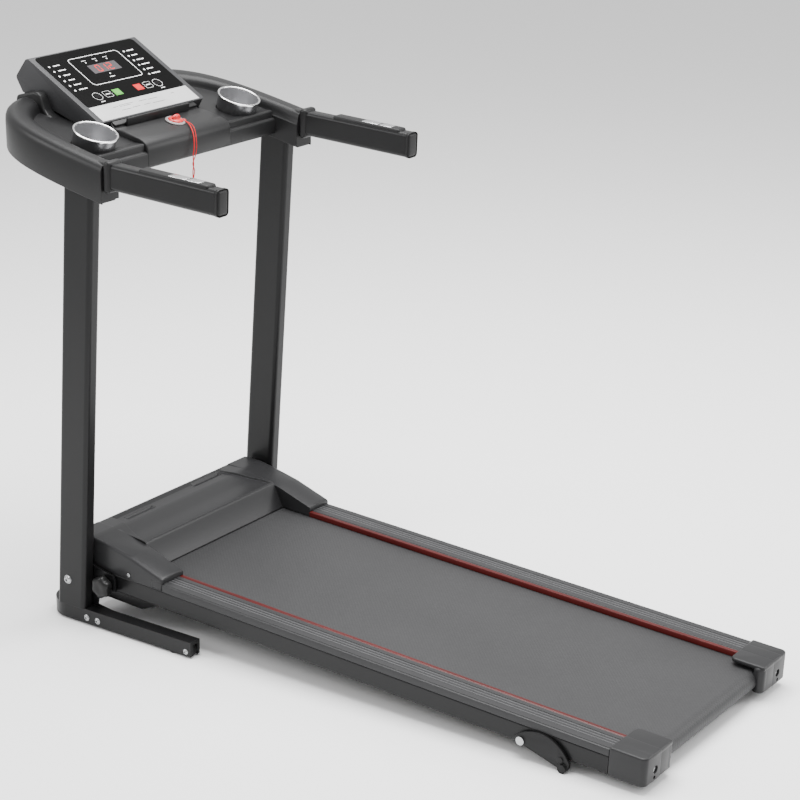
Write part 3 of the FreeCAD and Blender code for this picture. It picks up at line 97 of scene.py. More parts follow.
# ---------------------------------------------------------------- stand: base, uprights and crossbar
# Rectangular steel tube, bent and welded, under a satin black powder coat. The coat has a faint
# orange peel, rubs paler along the tube's corners, and is a little uneven in gloss.
def finish(name, colour, roughness, metal=0.0, mottle=0.12, cloud=9, grain=700, relief=0.12,
           edge=1.0, wear=1.5, specular=0.2):
    """A base colour with soft mottling, a fine grain, eased edges and paler wear along them."""
    material = bpy.data.materials.new(name)
    material.use_nodes = True
    nodes, links = material.node_tree.nodes, material.node_tree.links
    shader = nodes["Principled BSDF"]
    shader.inputs["Metallic"].default_value = metal
    shader.inputs["Specular IOR Level"].default_value = specular
    place = nodes.new("ShaderNodeTexCoord")
    patches = nodes.new("ShaderNodeTexNoise")
    patches.inputs["Scale"].default_value = cloud
    patches.inputs["Detail"].default_value = 6
    fleck = nodes.new("ShaderNodeTexNoise")
    fleck.inputs["Scale"].default_value = grain
    fleck.inputs["Detail"].default_value = 3
    eased_edge = nodes.new("ShaderNodeBevel")
    eased_edge.samples = 4
    eased_edge.inputs["Radius"].default_value = edge * MM
    surface = nodes.new("ShaderNodeNewGeometry")
    agree = nodes.new("ShaderNodeVectorMath")
    agree.operation = "DOT_PRODUCT"
    on_edge = nodes.new("ShaderNodeMapRange")
    for socket, value in (("From Min", 0.99), ("From Max", 0.8), ("To Min", 0), ("To Max", 0.55)):
        on_edge.inputs[socket].default_value = value
    tone = nodes.new("ShaderNodeValToRGB")
    tone.color_ramp.elements[0].position = 0.3
    tone.color_ramp.elements[0].color = (*[c * (1 - mottle) for c in colour], 1)
    tone.color_ramp.elements[1].position = 0.7
    tone.color_ramp.elements[1].color = (*[c * (1 + mottle) for c in colour], 1)
    rubbed = nodes.new("ShaderNodeMix")
    rubbed.data_type = "RGBA"
    rubbed.inputs["B"].default_value = (*[min(1, c * wear + 0.004) for c in colour], 1)
    gloss = nodes.new("ShaderNodeMapRange")
    gloss.inputs["To Min"].default_value = roughness - 0.05
    gloss.inputs["To Max"].default_value = roughness + 0.05
    bump = nodes.new("ShaderNodeBump")
    bump.inputs["Strength"].default_value = relief
    bump.inputs["Distance"].default_value = 0.3 * MM
    for noise in (patches, fleck):
        links.new(place.outputs["Object"], noise.inputs["Vector"])
    links.new(eased_edge.outputs["Normal"], agree.inputs[0])
    links.new(surface.outputs["Normal"], agree.inputs[1])
    links.new(agree.outputs["Value"], on_edge.inputs["Value"])
    links.new(patches.outputs["Fac"], tone.inputs["Fac"])
    links.new(patches.outputs["Fac"], gloss.inputs["Value"])
    links.new(tone.outputs["Color"], rubbed.inputs["A"])
    links.new(on_edge.outputs["Result"], rubbed.inputs["Factor"])
    links.new(rubbed.outputs["Result"], shader.inputs["Base Color"])
    links.new(gloss.outputs["Result"], shader.inputs["Roughness"])
    links.new(fleck.outputs["Fac"], bump.inputs["Height"])
    links.new(eased_edge.outputs["Normal"], bump.inputs["Normal"])
    links.new(bump.outputs["Normal"], shader.inputs["Normal"])
    return material


def dress(material, *names):
    """Gives CAD nodes a material."""
    for name in names:
        frame["nodes"][name].data.materials.clear()
        frame["nodes"][name].data.materials.append(material)


frame_black = finish("frame_black", (0.0075, 0.0075, 0.0078), 0.34, mottle=0.1, grain=420, relief=0.1,
                     wear=2.2)
dress(frame_black, "base_frame", "upright_left", "upright_right", "hinge_brackets", "handle_arm_left",
      "handle_arm_right", "deck_frame")


def alone(piece):
    """Selects one piece and nothing else."""
    bpy.ops.object.select_all(action="DESELECT")
    piece.select_set(True)
    bpy.context.view_layer.objects.active = piece


def finished(piece, material, body, slot, *stands_for):
    """Shades a piece, gives it its material, parents it to the body and hides the parts it stands for."""
    alone(piece)
    bpy.ops.object.shade_smooth_by_angle(angle=radians(40))
    if not piece.data.materials:
        piece.data.materials.append(material)
    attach(piece, body)
    if stands_for:
        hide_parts(*stands_for)


def block(name, low, high, rounding, place, segments=3):
    """A cube set between two corners, in millimetres, with every edge rounded."""
    low, high = Vector(low) * MM, Vector(high) * MM
    bpy.ops.mesh.primitive_cube_add(size=1, location=(low + high) / 2, scale=high - low)
    piece = bpy.context.object
    piece.name = name
    bpy.ops.object.transform_apply(location=True, rotation=True, scale=True)
    bpy.ops.object.mode_set(mode="EDIT")
    bpy.ops.mesh.select_all(action="SELECT")
    bpy.ops.mesh.bevel(offset=rounding * MM, segments=segments, affect="EDGES")
    bpy.ops.object.mode_set(mode="OBJECT")
    piece.data.transform(place)
    return piece


def joined(name, pieces):
    """Several pieces as one."""
    bpy.ops.object.select_all(action="DESELECT")
    for piece in pieces:
        piece.select_set(True)
    bpy.context.view_layer.objects.active = pieces[0]
    bpy.ops.object.join()
    pieces[0].name = name
    return pieces[0]


# The crossbar has a moulded sleeve clipped round it, with a lip that meets the tray's floor.
LEVEL = Matrix.Identity(4)
console_black = finish("console_black", (0.0095, 0.0095, 0.0098), 0.4, grain=900, relief=0.16, edge=1.2,
                       wear=1.6)
low, high = (tuple(c / MM for c in corner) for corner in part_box("console_crossbar"))
crossbar = block("crossbar_sleeve", low, high, 6, LEVEL, 4)
lip = block("crossbar_lip", (-264, 447, 900), (264, 469, 925.5), 4, LEVEL, 4)
crossbar = joined("crossbar_sleeve", [crossbar, lip])
finished(crossbar, console_black, "stand", "console_black", "console_crossbar")


# ---------------------------------------------------------------- bolts, washers and pins
# Zinc-plated dome-head bolts with a hexagon socket, each on its washer.
def lathe(name, profile, place, sides=48):
    """A ring of edges extruded from one (radius, height) to the next, in millimetres, about local Z."""
    bpy.ops.mesh.primitive_circle_add(vertices=sides, radius=profile[0][0] * MM)
    piece = bpy.context.object
    piece.name = name
    bpy.ops.object.mode_set(mode="EDIT")
    bpy.ops.mesh.select_all(action="SELECT")
    bpy.ops.transform.translate(value=(0, 0, profile[0][1] * MM))
    for (radius, height), (new_radius, new_height) in zip(profile, profile[1:]):
        bpy.ops.mesh.extrude_edges_move()
        bpy.ops.transform.translate(value=(0, 0, (new_height - height) * MM))
        grow = new_radius / radius
        bpy.ops.transform.resize(value=(grow, grow, 1), center_override=(0, 0, new_height * MM))
    bpy.ops.mesh.select_all(action="SELECT")
    bpy.ops.mesh.remove_doubles(threshold=0.005 * MM)
    bpy.ops.mesh.normals_make_consistent(inside=False)
    bpy.ops.object.mode_set(mode="OBJECT")
    piece.data.transform(place)
    return piece


AXIS = 0.01          # a ring this small closes to a point
OUTWARD = {-1: Matrix.Rotation(radians(-90), 4, "Y"), 1: Matrix.Rotation(radians(90), 4, "Y")}


def dome_bolt(name, head, high, place, shank=None):
    """Washer, domed head and round socket; local Z points out of the head."""
    parts = [lathe(name, [(AXIS, 0), (head + 1.2, 0), (head + 1.4, 0.5), (head + 1, 0.9), (head - 0.2, 0.9),
                          (head, 1.3), (head * 0.93, high * 0.6), (head * 0.72, high * 0.88),
                          (head * 0.5, high), (head * 0.42, high), (head * 0.4, high - 2.4),
                          (AXIS, high - 2.6)], place, 30)]
    if shank:
        parts.append(lathe(name, [(AXIS, -shank[1]), (shank[0], -shank[1]), (shank[0], 0.4), (AXIS, 0.4)],
                           place, 20))
    return joined(name, parts)


zinc = finish("zinc_steel", (0.38, 0.385, 0.39), 0.2, metal=1.0, mottle=0.08, cloud=60, grain=1500,
              relief=0.1, edge=0.4, wear=1.1)


def at(x, y, z):
    return Matrix.Translation(Vector((x, y, z)) * MM)


SIDES = {"left": -1, "right": 1}
HINGE = Vector(next(j["pos_m"] for j in frame["joints"] if j["name"] == "deck_fold"))
TRAY_RISE = radians(11.64)
TRAY = Matrix.Translation((0, 0.520, 0.954)) @ Matrix.Rotation(TRAY_RISE, 4, "X")
BOLT_YS, BOLT_Z = (450, 478), 16
WHEEL_Y, WHEEL_Z = 227, 12.5
BASE_OUTER, STAND_OUTER = 299, 302
bolts = []
for side, sign in SIDES.items():
    bolts += [dome_bolt("bolt", 5.2, 3.2, at(sign * BASE_OUTER, y, BOLT_Z) @ OUTWARD[sign], (4, 32))
              for y in BOLT_YS]
    bolts.append(dome_bolt("bolt", 4.2, 2.6, at(sign * BASE_OUTER, WHEEL_Y, WHEEL_Z) @ OUTWARD[sign],
                           (3, 27)))
    bolts += [dome_bolt("bolt", 3, 2.4, TRAY @ at(sign * x, -127, -70) @ Matrix.Rotation(pi, 4, "X"))
              for x in (280, 294)]
finished(joined("frame_bolt_set", bolts), zinc, "stand", "zinc_steel", "frame_bolts")
pivots = [dome_bolt("pivot", 7.6, 4.6, at(sign * STAND_OUTER, HINGE.y / MM, HINGE.z / MM) @ OUTWARD[sign],
                    (5, 71)) for sign in SIDES.values()]
finished(joined("pivot_bolt_pair", pivots), zinc, "stand", "zinc_steel", "pivot_bolts")

# ---------------------------------------------------------------- base plugs, pads and transport wheels
# Ribbed nylon plugs close the base tubes; turned rubber pads carry the stand, and two small solid
# tyres turn in the plugs' forks.
nylon = finish("plug_nylon", (0.008, 0.008, 0.0083), 0.46, grain=1100, relief=0.2, edge=1.2)
dress(nylon, "base_end_caps")
rubber = finish("pad_rubber", (0.008, 0.008, 0.008), 0.72, mottle=0.25, cloud=40, grain=1600, relief=0.35,
                edge=1.0)
PAD_SPOTS = ((-285.5, 262), (285.5, 262), (-245, 576.5), (245, 576.5))
pads = [lathe("pad", [(AXIS, 0), (8.2, 0), (8.6, 0.8), (9.6, 0.8), (10, 0), (11.4, 0), (12, 0.8),
                      (11.6, 2.4), (9.4, 3.6), (9.4, 4), (AXIS, 4)], at(x, y, 0), 40) for x, y in PAD_SPOTS]
finished(joined("foot_pad_set", pads), rubber, "stand", "rubber_black", "base_foot_pads")
for side, sign in SIDES.items():
    place = at(sign * 285.5, WHEEL_Y, WHEEL_Z) @ OUTWARD[1]
    tyre = lathe("tyre_" + side, [(3.1, -5.5), (5, -5.5), (5.6, -4.6), (9, -4.6), (9.8, -5.5), (11.2, -5.2),
                                  (12, -4), (12, -0.8), (11.6, -0.3), (11.6, 0.3), (12, 0.8), (12, 4),
                                  (11.2, 5.2), (9.8, 5.5), (9, 4.6), (5.6, 4.6), (5, 5.5), (3.1, 5.5),
                                  (3.1, -5.5)], place, 40)
    finished(tyre, rubber, "transport_wheel_" + side, "rubber_black", "transport_wheel_" + side)

# ---------------------------------------------------------------- lock knob
# A phenolic six-lobed pull knob on a steel pin, with a shallow dish in its face.
knob_low, knob_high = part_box("lock_knob")
knob_y, knob_z = (knob_low[1] + knob_high[1]) / 2 / MM, (knob_low[2] + knob_high[2]) / 2 / MM
knob_place = at(-272, knob_y, knob_z) @ OUTWARD[-1]
knob = lathe("knob_grip", [(AXIS, 3), (10, 3), (12, 4), (13, 7), (19, 9), (21, 11), (21.6, 14), (21.6, 21),
                           (20.6, 24), (18, 26.4), (13, 27.6), (8, 27.4), (4, 26.8), (AXIS, 26.6)], LEVEL,
             96)
for vertex in knob.data.vertices:
    across = vertex.co.xy.length / MM
    if across > 12:
        lobe = 1 + 0.075 * (across - 12) / 9 * cos(6 * atan2(vertex.co.y, vertex.co.x) + 0.5) - 0.03
        vertex.co.xy = vertex.co.xy * lobe
knob.data.transform(knob_place)
knob_black = finish("knob_black", (0.009, 0.009, 0.009), 0.36, grain=800, relief=0.1, edge=1.0)
finished(knob, knob_black, "lock_knob", "knob_black", "lock_knob")
pin = lathe("knob_pin", [(AXIS, -5), (3.4, -5), (4, -4.4), (4, 4), (AXIS, 4)], knob_place, 32)
finished(pin, zinc, "lock_knob", "zinc_steel")

# ---------------------------------------------------------------- handlebars
# Oval-cornered steel tubes in black powder coat, with a moulded collar where they leave the
# console, a rounded end plug, and a pulse grip let into the top with its two steel contacts.
ARM_RISE = radians(2.8)
ARMS = Matrix.Translation((0, 0.520, 0.8878)) @ Matrix.Rotation(ARM_RISE, 4, "X")
ARM_INNER, ARM_OUTER, ARM_HIGH, ARM_REAR = 272, 302, 48.8, -390
GRIP_REAR, GRIP_FRONT = -372, -212
for side, sign in SIDES.items():
    near, far = (ARM_INNER, ARM_OUTER) if sign > 0 else (-ARM_OUTER, -ARM_INNER)
    plug = block("arm_plug_" + side, (near - 0.5, ARM_REAR - 8, -0.5),
                 (far + 0.5, ARM_REAR, ARM_HIGH + 0.5), 7.5, ARMS, 6)
    neck = block("arm_plug_neck", (near + 2.4, ARM_REAR - 2, 2.4),
                 (far - 2.4, ARM_REAR + 12, ARM_HIGH - 2.4), 2, ARMS)
    finished(joined("arm_plug_" + side, [plug, neck]), nylon, "stand", "arm_plug",
             *(["arm_end_caps"] if sign < 0 else []))
    grip = block("pulse_grip_" + side, (near + 1.5, GRIP_REAR, ARM_HIGH - 6),
                 (far - 1.5, GRIP_FRONT, ARM_HIGH + 4.2), 4.5, ARMS, 5)
    finished(grip, nylon, "stand", "arm_plug", *(["pulse_housings"] if sign < 0 else []))
    collar = block("arm_collar_" + side, (near - 4, -149, -5), (far + 4, -133, ARM_HIGH + 5), 6, ARMS, 5)
    finished(collar, console_black, "stand", "console_black")
sensor_steel = finish("sensor_steel", (0.72, 0.72, 0.73), 0.2, metal=1.0, mottle=0.05, cloud=30, grain=1200,
                      relief=0.05, edge=0.4, wear=1.1)
contacts = []
for side, sign in SIDES.items():
    near, far = (ARM_INNER, ARM_OUTER) if sign > 0 else (-ARM_OUTER, -ARM_INNER)
    for start, end in ((-350, -322), (-318, -280)):
        contacts.append(block("contact", (near + 5, start, ARM_HIGH + 2), (far - 5, end, ARM_HIGH + 4.7),
                              0.9, ARMS))
finished(joined("pulse_contact_set", contacts), sensor_steel, "stand", "contact_steel", "pulse_sensors")


# ---------------------------------------------------------------- console tray
# One moulding in satin black plastic: a bow that sweeps round the front, with a soft crowned rim,
# a sunken floor for the cups, and two sleeves that take the handlebars.
TRAY_HALF, TRAY_REACH, TRAY_CENTRE, TRAY_POWER = 309.5, 410, -206.7, 4.46
SLEEVE_REAR, FLOOR_REAR = -136, -61
PLUMB = tan(TRAY_RISE)


def bow_line(inset, rear, steps):
    """Points (x, y) round the bow at a distance inside its outline, from the right sleeve to the left."""
    half, reach = TRAY_HALF - inset, TRAY_REACH - inset
    start = asin(((rear - TRAY_CENTRE) / reach) ** (TRAY_POWER / 2))
    line = []
    for step in range(steps + 1):
        angle = start + (pi - 2 * start) * step / steps
        across = copysign(abs(cos(angle)) ** (2 / TRAY_POWER), cos(angle))
        line.append((half * across, TRAY_CENTRE + reach * sin(angle) ** (2 / TRAY_POWER)))
    return line


def meshed(name, points, faces):
    """A piece from points in millimetres and faces, with its normals outward."""
    mesh = bpy.data.meshes.new(name)
    mesh.from_pydata([Vector(point) * MM for point in points], [], faces)
    piece = bpy.data.objects.new(name, mesh)
    bpy.context.scene.collection.objects.link(piece)
    alone(piece)
    bpy.ops.object.mode_set(mode="EDIT")
    bpy.ops.mesh.select_all(action="SELECT")
    bpy.ops.mesh.normals_make_consistent(inside=False)
    bpy.ops.object.mode_set(mode="OBJECT")
    return piece


def strip(name, rings, capped=True):
    """Faces round a closed row of rings of points, in millimetres."""
    count = len(rings[0])
    pairs = zip(range(len(rings)), [*range(1, len(rings)), 0])
    faces = [(a * count + i, a * count + i + 1, b * count + i + 1, b * count + i)
             for a, b in pairs for i in range(count - 1)]
    if capped:
        faces.append([a * count for a in range(len(rings))])
        faces.append([a * count + count - 1 for a in reversed(range(len(rings)))])
    return meshed(name, [point for ring in rings for point in ring], faces)


def slab(name, outline, along):
    """A flat outline carried along a direction, in millimetres."""
    count = len(outline)
    far = [Vector(point) + Vector(along) for point in outline]
    faces = [list(range(count)), list(reversed(range(count, 2 * count)))]
    faces += [((i + 1) % count, i, count + i, count + (i + 1) % count) for i in range(count)]
    return meshed(name, [*outline, *far], faces)


def combined(piece, tool, operation="DIFFERENCE"):
    """The piece less the tool, or the two as one solid; the tool is used up."""
    bpy.context.view_layer.objects.active = piece
    change = piece.modifiers.new("change", "BOOLEAN")
    change.operation = operation
    change.object = tool
    change.solver = "EXACT"
    bpy.ops.object.modifier_apply(modifier="change")
    bpy.data.objects.remove(tool)


def softened(piece, width, segments=3, limit=40):
    """Rounds every edge sharper than the limit."""
    bpy.context.view_layer.objects.active = piece
    rounding = piece.modifiers.new("rounding", "BEVEL")
    rounding.width = width * MM
    rounding.segments = segments
    rounding.limit_method = "ANGLE"
    rounding.angle_limit = radians(limit)
    bpy.ops.object.modifier_apply(modifier="rounding")


BOW_SECTION = ((0.6, -70), (0, -68), (0, -20), (0.6, -12), (2.4, -6), (5.6, -2), (10, 0.2), (16, 1),
               (27, 1), (33, 0.2), (37.6, -2.2), (40.6, -6.5), (42.4, -12), (44, -20), (47, -23),
               (47, -66.5), (3, -66.5), (3, -70))
rings = [[(x, y + PLUMB * height, height) for x, y in bow_line(inset, SLEEVE_REAR, 110)]
         for inset, height in BOW_SECTION]
bow = strip("tray_bow", rings)
bow.data.transform(TRAY)

FLOOR_TOP, FLOOR_THICK = -18, 3
floor_line = [(x, y + PLUMB * FLOOR_TOP, FLOOR_TOP) for x, y in bow_line(44, FLOOR_REAR, 110)]
tray_floor = slab("tray_floor", floor_line, (0, 0, -FLOOR_THICK))
tray_floor.data.transform(TRAY)


CUP_X, CUP_TILT, CUP_RADIUS, CUP_DEPTH = 208.5, radians(18), 43.5, 48


def cup_place(sign):
    return at(sign * CUP_X, 488.5, 957) @ Matrix.Rotation(CUP_TILT, 4, "X")


for sign in SIDES.values():
    combined(tray_floor, lathe("cup_hole", [(AXIS, -60), (CUP_RADIUS - 3, -60), (CUP_RADIUS - 3, 30),
                                            (AXIS, 30)], cup_place(sign)))

# The raised middle carries the console: its shoulders sweep up in an S from the floor to the rim.
PEDESTAL_HALF = 172
PEDESTAL_SIDE = ((208, -30), (208, -3), (192, 4), (177, 12), (165, 17.5), (156, 18), (149, 14), (142, 4),
                 (135, -8), (125, -15.5), (107, -18.6), (40, -19), (40, -30))
pedestal = slab("pedestal", [(-PEDESTAL_HALF, y, z) for y, z in PEDESTAL_SIDE], (2 * PEDESTAL_HALF, 0, 0))
softened(pedestal, 5, 4, 60)
bpy.ops.object.mode_set(mode="EDIT")
bpy.ops.mesh.select_all(action="SELECT")
bpy.ops.mesh.normals_make_consistent(inside=False)
bpy.ops.object.mode_set(mode="OBJECT")
pedestal.data.transform(TRAY)
tray = joined("console_tray_moulding", [bow, tray_floor, pedestal])
finished(tray, console_black, "stand", "console_black", "console_tray")


# ---------------------------------------------------------------- tray underside, skirt and ledge
# Smaller mouldings in the same plastic: the closing plate below, the stepped skirt under the
# console, and the thin ledge that a phone or tablet leans on.
def eased(name, node, width, segments=3):
    """A copy of a CAD node whose sharp edges are eased as moulding leaves them."""
    piece = bpy.data.objects.new(name, frame["nodes"][node].data.copy())
    piece.data.materials.clear()
    bpy.context.scene.collection.objects.link(piece)
    alone(piece)
    bpy.ops.object.mode_set(mode="EDIT")
    bpy.ops.mesh.select_all(action="SELECT")
    bpy.ops.mesh.remove_doubles(threshold=0.002 * MM)
    bpy.ops.mesh.dissolve_limited(angle_limit=radians(2))
    bpy.ops.object.mode_set(mode="OBJECT")
    if width:
        softened(piece, width, segments, 30)
    return piece


dress(console_black, "console_lower_shell")
SKIRT_HALF = 122
SKIRT_SIDE = ((441, 880), (439.2, 884), (439.2, 912), (440.6, 919), (445, 926), (452, 931), (462, 934.6),
              (478, 938), (490, 941), (501, 943.5), (522, 944.5), (528, 950), (531, 955.5), (538, 943),
              (538.5, 930), (470, 905), (468, 880))
skirt = slab("skirt", [(-SKIRT_HALF, y, z) for y, z in SKIRT_SIDE], (2 * SKIRT_HALF, 0, 0))
softened(skirt, 3, 3, 50)
FACE_RISE = radians(29.8)
FACE = Matrix.Translation((0, 0.530, 0.958)) @ Matrix.Rotation(FACE_RISE, 4, "X")
wedge = block("skirt_wedge", (-119, -12, -26), (119, 3, -1.6), 2, FACE, 2)
skirt = joined("skirt", [skirt, wedge])
finished(skirt, console_black, "stand", "console_black", "console_skirt")
finished(eased("ledge", "tablet_ledge", 1.2), console_black, "stand", "console_black", "tablet_ledge")

# ---------------------------------------------------------------- cups
# Two drawn metal cups in dark lacquer, each with a polished rolled rim.
cup_metal = finish("cup_metal", (0.16, 0.16, 0.165), 0.3, metal=0.85, mottle=0.1, cloud=25, grain=900,
                   relief=0.06)
rim_chrome = finish("rim_chrome", (0.92, 0.92, 0.92), 0.1, metal=1.0, mottle=0.02, grain=900, relief=0.02,
                    edge=0.3)
cup_inside = finish("cup_inside", (0.42, 0.42, 0.43), 0.38, metal=0.9, mottle=0.08, cloud=25, grain=900,
                    relief=0.06)
cups, linings, rims = [], [], []
for sign in SIDES.values():
    cups.append(lathe("cup", [(AXIS, -CUP_DEPTH), (24, -CUP_DEPTH), (34, -46), (38, -38),
                              (CUP_RADIUS - 3.4, -24), (CUP_RADIUS - 2.2, -4), (CUP_RADIUS - 2.2, 0.4),
                              (CUP_RADIUS - 3.2, 0.4), (CUP_RADIUS - 4.4, -24), (37, -37), (33, -45),
                              (24, -47), (AXIS, -47)], cup_place(sign), 72))
    linings.append(lathe("lining", [(CUP_RADIUS - 3.4, 0.6), (CUP_RADIUS - 4.6, -24), (36.8, -36.6),
                                    (33, -44.4), (24, -46.2), (AXIS, -46.2), (AXIS, -45.8), (23.8, -45.8),
                                    (32.7, -44), (36.4, -36.4), (CUP_RADIUS - 5, -24),
                                    (CUP_RADIUS - 3.8, 0.6), (CUP_RADIUS - 3.4, 0.6)], cup_place(sign), 72))
    rims.append(lathe("rim", [(CUP_RADIUS - 4, -1), (CUP_RADIUS - 4, 0.8), (CUP_RADIUS - 3.2, 1.8),
                              (CUP_RADIUS - 1.8, 2.1), (CUP_RADIUS - 0.5, 1.5), (CUP_RADIUS, 0.2),
                              (CUP_RADIUS - 0.2, -1.4), (CUP_RADIUS - 1.4, -2), (CUP_RADIUS - 4, -1)],
                      cup_place(sign), 72))
finished(joined("cup_pair", cups), cup_metal, "stand", "cup_metal", "cup_holders")
finished(joined("cup_lining_pair", linings), cup_inside, "stand", "cup_metal")
finished(joined("cup_rim_pair", rims), rim_chrome, "stand", "rim_chrome", "cup_rims")


# ---------------------------------------------------------------- console housing and its face
# A moulded grey box with soft corners. A gloss black film covers the upper face and a brushed
# silver one the lower edge; the lamps and key names are screen printed and left as plain marks.
def cornered(piece, width, chosen, segments=5):
    """Rounds only the chosen edges, picked by their two ends in metres."""
    bpy.context.view_layer.objects.active = piece
    bpy.ops.object.mode_set(mode="EDIT")
    bpy.ops.mesh.select_mode(type="EDGE")
    bpy.ops.mesh.select_all(action="DESELECT")
    bpy.ops.object.mode_set(mode="OBJECT")
    for edge in piece.data.edges:
        edge.select = chosen(*[piece.data.vertices[v].co for v in edge.vertices])
    bpy.ops.object.mode_set(mode="EDIT")
    bpy.ops.mesh.bevel(offset=width * MM, segments=segments, affect="EDGES")
    bpy.ops.mesh.select_mode(type="VERT")
    bpy.ops.object.mode_set(mode="OBJECT")


bezel_grey = finish("bezel_grey", (0.03, 0.03, 0.0315), 0.4, grain=1000, relief=0.15, edge=1.4, wear=1.4)
console_box = eased("console_box", "console_housing", 0)
console_box.data.transform(FACE.inverted())
cornered(console_box, 8, lambda a, b: min(abs(a.x), abs(b.x)) > 0.15 and (a - b).length > 0.012
         and abs((a - b).y) < 0.35 * (a - b).length and abs((a - b).x) < 0.001)
console_box.data.transform(FACE)
softened(console_box, 2.2, 3, 50)
finished(console_box, bezel_grey, "stand", "bezel_grey", "console_housing")
overlay_black = finish("overlay_black", (0.0012, 0.0012, 0.0012), 0.3, mottle=0.05, grain=300, relief=0.01,
                       edge=0.3, wear=1.2, specular=0.04)
dress(overlay_black, "console_overlay")
dress(finish("trim_silver", (0.55, 0.55, 0.55), 0.34, metal=0.5, mottle=0.06, cloud=14, grain=500,
             relief=0.08, edge=0.3, wear=1.1), "trim_strip")
key_black = finish("key_black", (0.003, 0.003, 0.003), 0.25, grain=400, relief=0.02, edge=0.5,
                   specular=0.08)
dress(key_black, "key_mode", "key_program", "key_circle_left", "key_circle_right")
dress(finish("key_green", (0.07, 0.3, 0.04), 0.3, mottle=0.08, cloud=80, relief=0.03, edge=0.5, wear=1.3),
      "key_start")
dress(finish("key_red", (0.5, 0.008, 0.01), 0.3, mottle=0.08, cloud=80, relief=0.03, edge=0.5, wear=1.3),
      "key_stop")
dress(finish("circuit_green", (0.02, 0.12, 0.05), 0.4, mottle=0.3, cloud=200), "console_board")

PRINT = 0.8           # top of the film above the face


def mark(low_x, low_y, high_x, high_y, lift=0.12, rounding=0.05):
    return block("mark", (low_x, low_y, PRINT - 0.05), (high_x, high_y, PRINT + lift), rounding, FACE, 1)


def dot(x, y, radius, lift=0.12):
    return lathe("dot", [(AXIS, PRINT), (radius, PRINT), (radius * 0.9, PRINT + lift),
                         (AXIS, PRINT + lift)], FACE @ at(x, y, 0), 20)


def outline(x, y, half_wide, half_high, corner, thick, lift=0.14):
    """A rounded rectangle drawn as a line of even thickness."""
    rings = []
    for grow, height in ((0, PRINT), (0, PRINT + lift), (-thick, PRINT + lift), (-thick, PRINT)):
        ring = []
        for quarter, (sx, sy) in enumerate(((1, 1), (-1, 1), (-1, -1), (1, -1))):
            for step in range(7):
                angle = (quarter + step / 6) * pi / 2
                ring.append((x + sx * (half_wide - corner) + (corner + grow) * cos(angle),
                             y + sy * (half_high - corner) + (corner + grow) * sin(angle), height))
        rings.append([*ring, ring[0]])
    piece = strip("outline", rings, capped=False)
    piece.data.transform(FACE)
    return piece


print_white = finish("print_white", (0.8, 0.8, 0.8), 0.4, mottle=0.05, relief=0.02, edge=0.1, wear=1.0)
marks = [outline(0, 139.5, 71, 41.5, 9, 1.2)]
for row in range(6):
    for dot_x, label_x, length in ((-126, -115, (17, 20, 18, 16, 19, 22)[row]),
                                   (85, 93, (19, 16, 20, 22, 18, 24)[row])):
        y = 171.6 - 15 * row
        marks.append(dot(dot_x, y, 2.3))
        marks.append(mark(label_x, y - 1.2, label_x + length * 0.55, y + 1.4))
        marks.append(mark(label_x + length * 0.62, y - 1.2, label_x + length, y + 1.4))
for x in (-33, -3.4, 26.4):
    marks.append(dot(x, 162.8, 1.7))
    marks.append(mark(x - 7, 168.4, x + 5, 169.4))
marks.append(dot(-4, 121.5, 1.7))
marks.append(mark(-13, 111.6, 1, 113.4))
KEY_ROW_Y = 69
for x in (-91, 81):
    marks.append(outline(x, KEY_ROW_Y, 11, 11, 10.9, 0.6))
    marks.append(mark(x - 5, 52, x + 6, 53.6))
for x in (-62, 53):
    marks.append(outline(x, KEY_ROW_Y, 10, 9, 3, 0.5))
    marks.append(mark(x - 6, KEY_ROW_Y - 1, x + 6, KEY_ROW_Y + 1, 0.55))
finished(joined("face_print", marks), print_white, "stand", "overlay_gloss")
for hue, key_x, colour in (("green", -35, (0.05, 0.24, 0.03)), ("red", 26, (0.42, 0.006, 0.008))):
    patch = block("key_patch_" + hue, (key_x - 10, KEY_ROW_Y - 8.8, PRINT - 0.05),
                  (key_x + 10, KEY_ROW_Y + 8.8, PRINT + 0.14), 0.08, FACE, 1)
    finished(patch, finish("print_" + hue, colour, 0.4, relief=0.02, edge=0.1), "stand", "overlay_gloss")
print_grey = finish("print_grey", (0.04, 0.04, 0.04), 0.5, mottle=0.05, relief=0.02, edge=0.1, wear=1.0)
small_print = [block("line", (x, y, 0.55), (x + length, y + 1.1, 0.68), 0.05, FACE, 1) for x, y,
               length in ((-84, 31, 14), (-66, 33, 40), (-66, 29.5, 30), (-70, 19, 26), (-40, 20, 22),
                          (-10, 32, 22), (16, 31, 26), (-6, 20, 18), (18, 19, 34), (84, 33, 9))]
finished(joined("strip_print", small_print), print_grey, "stand", "trim_silver")

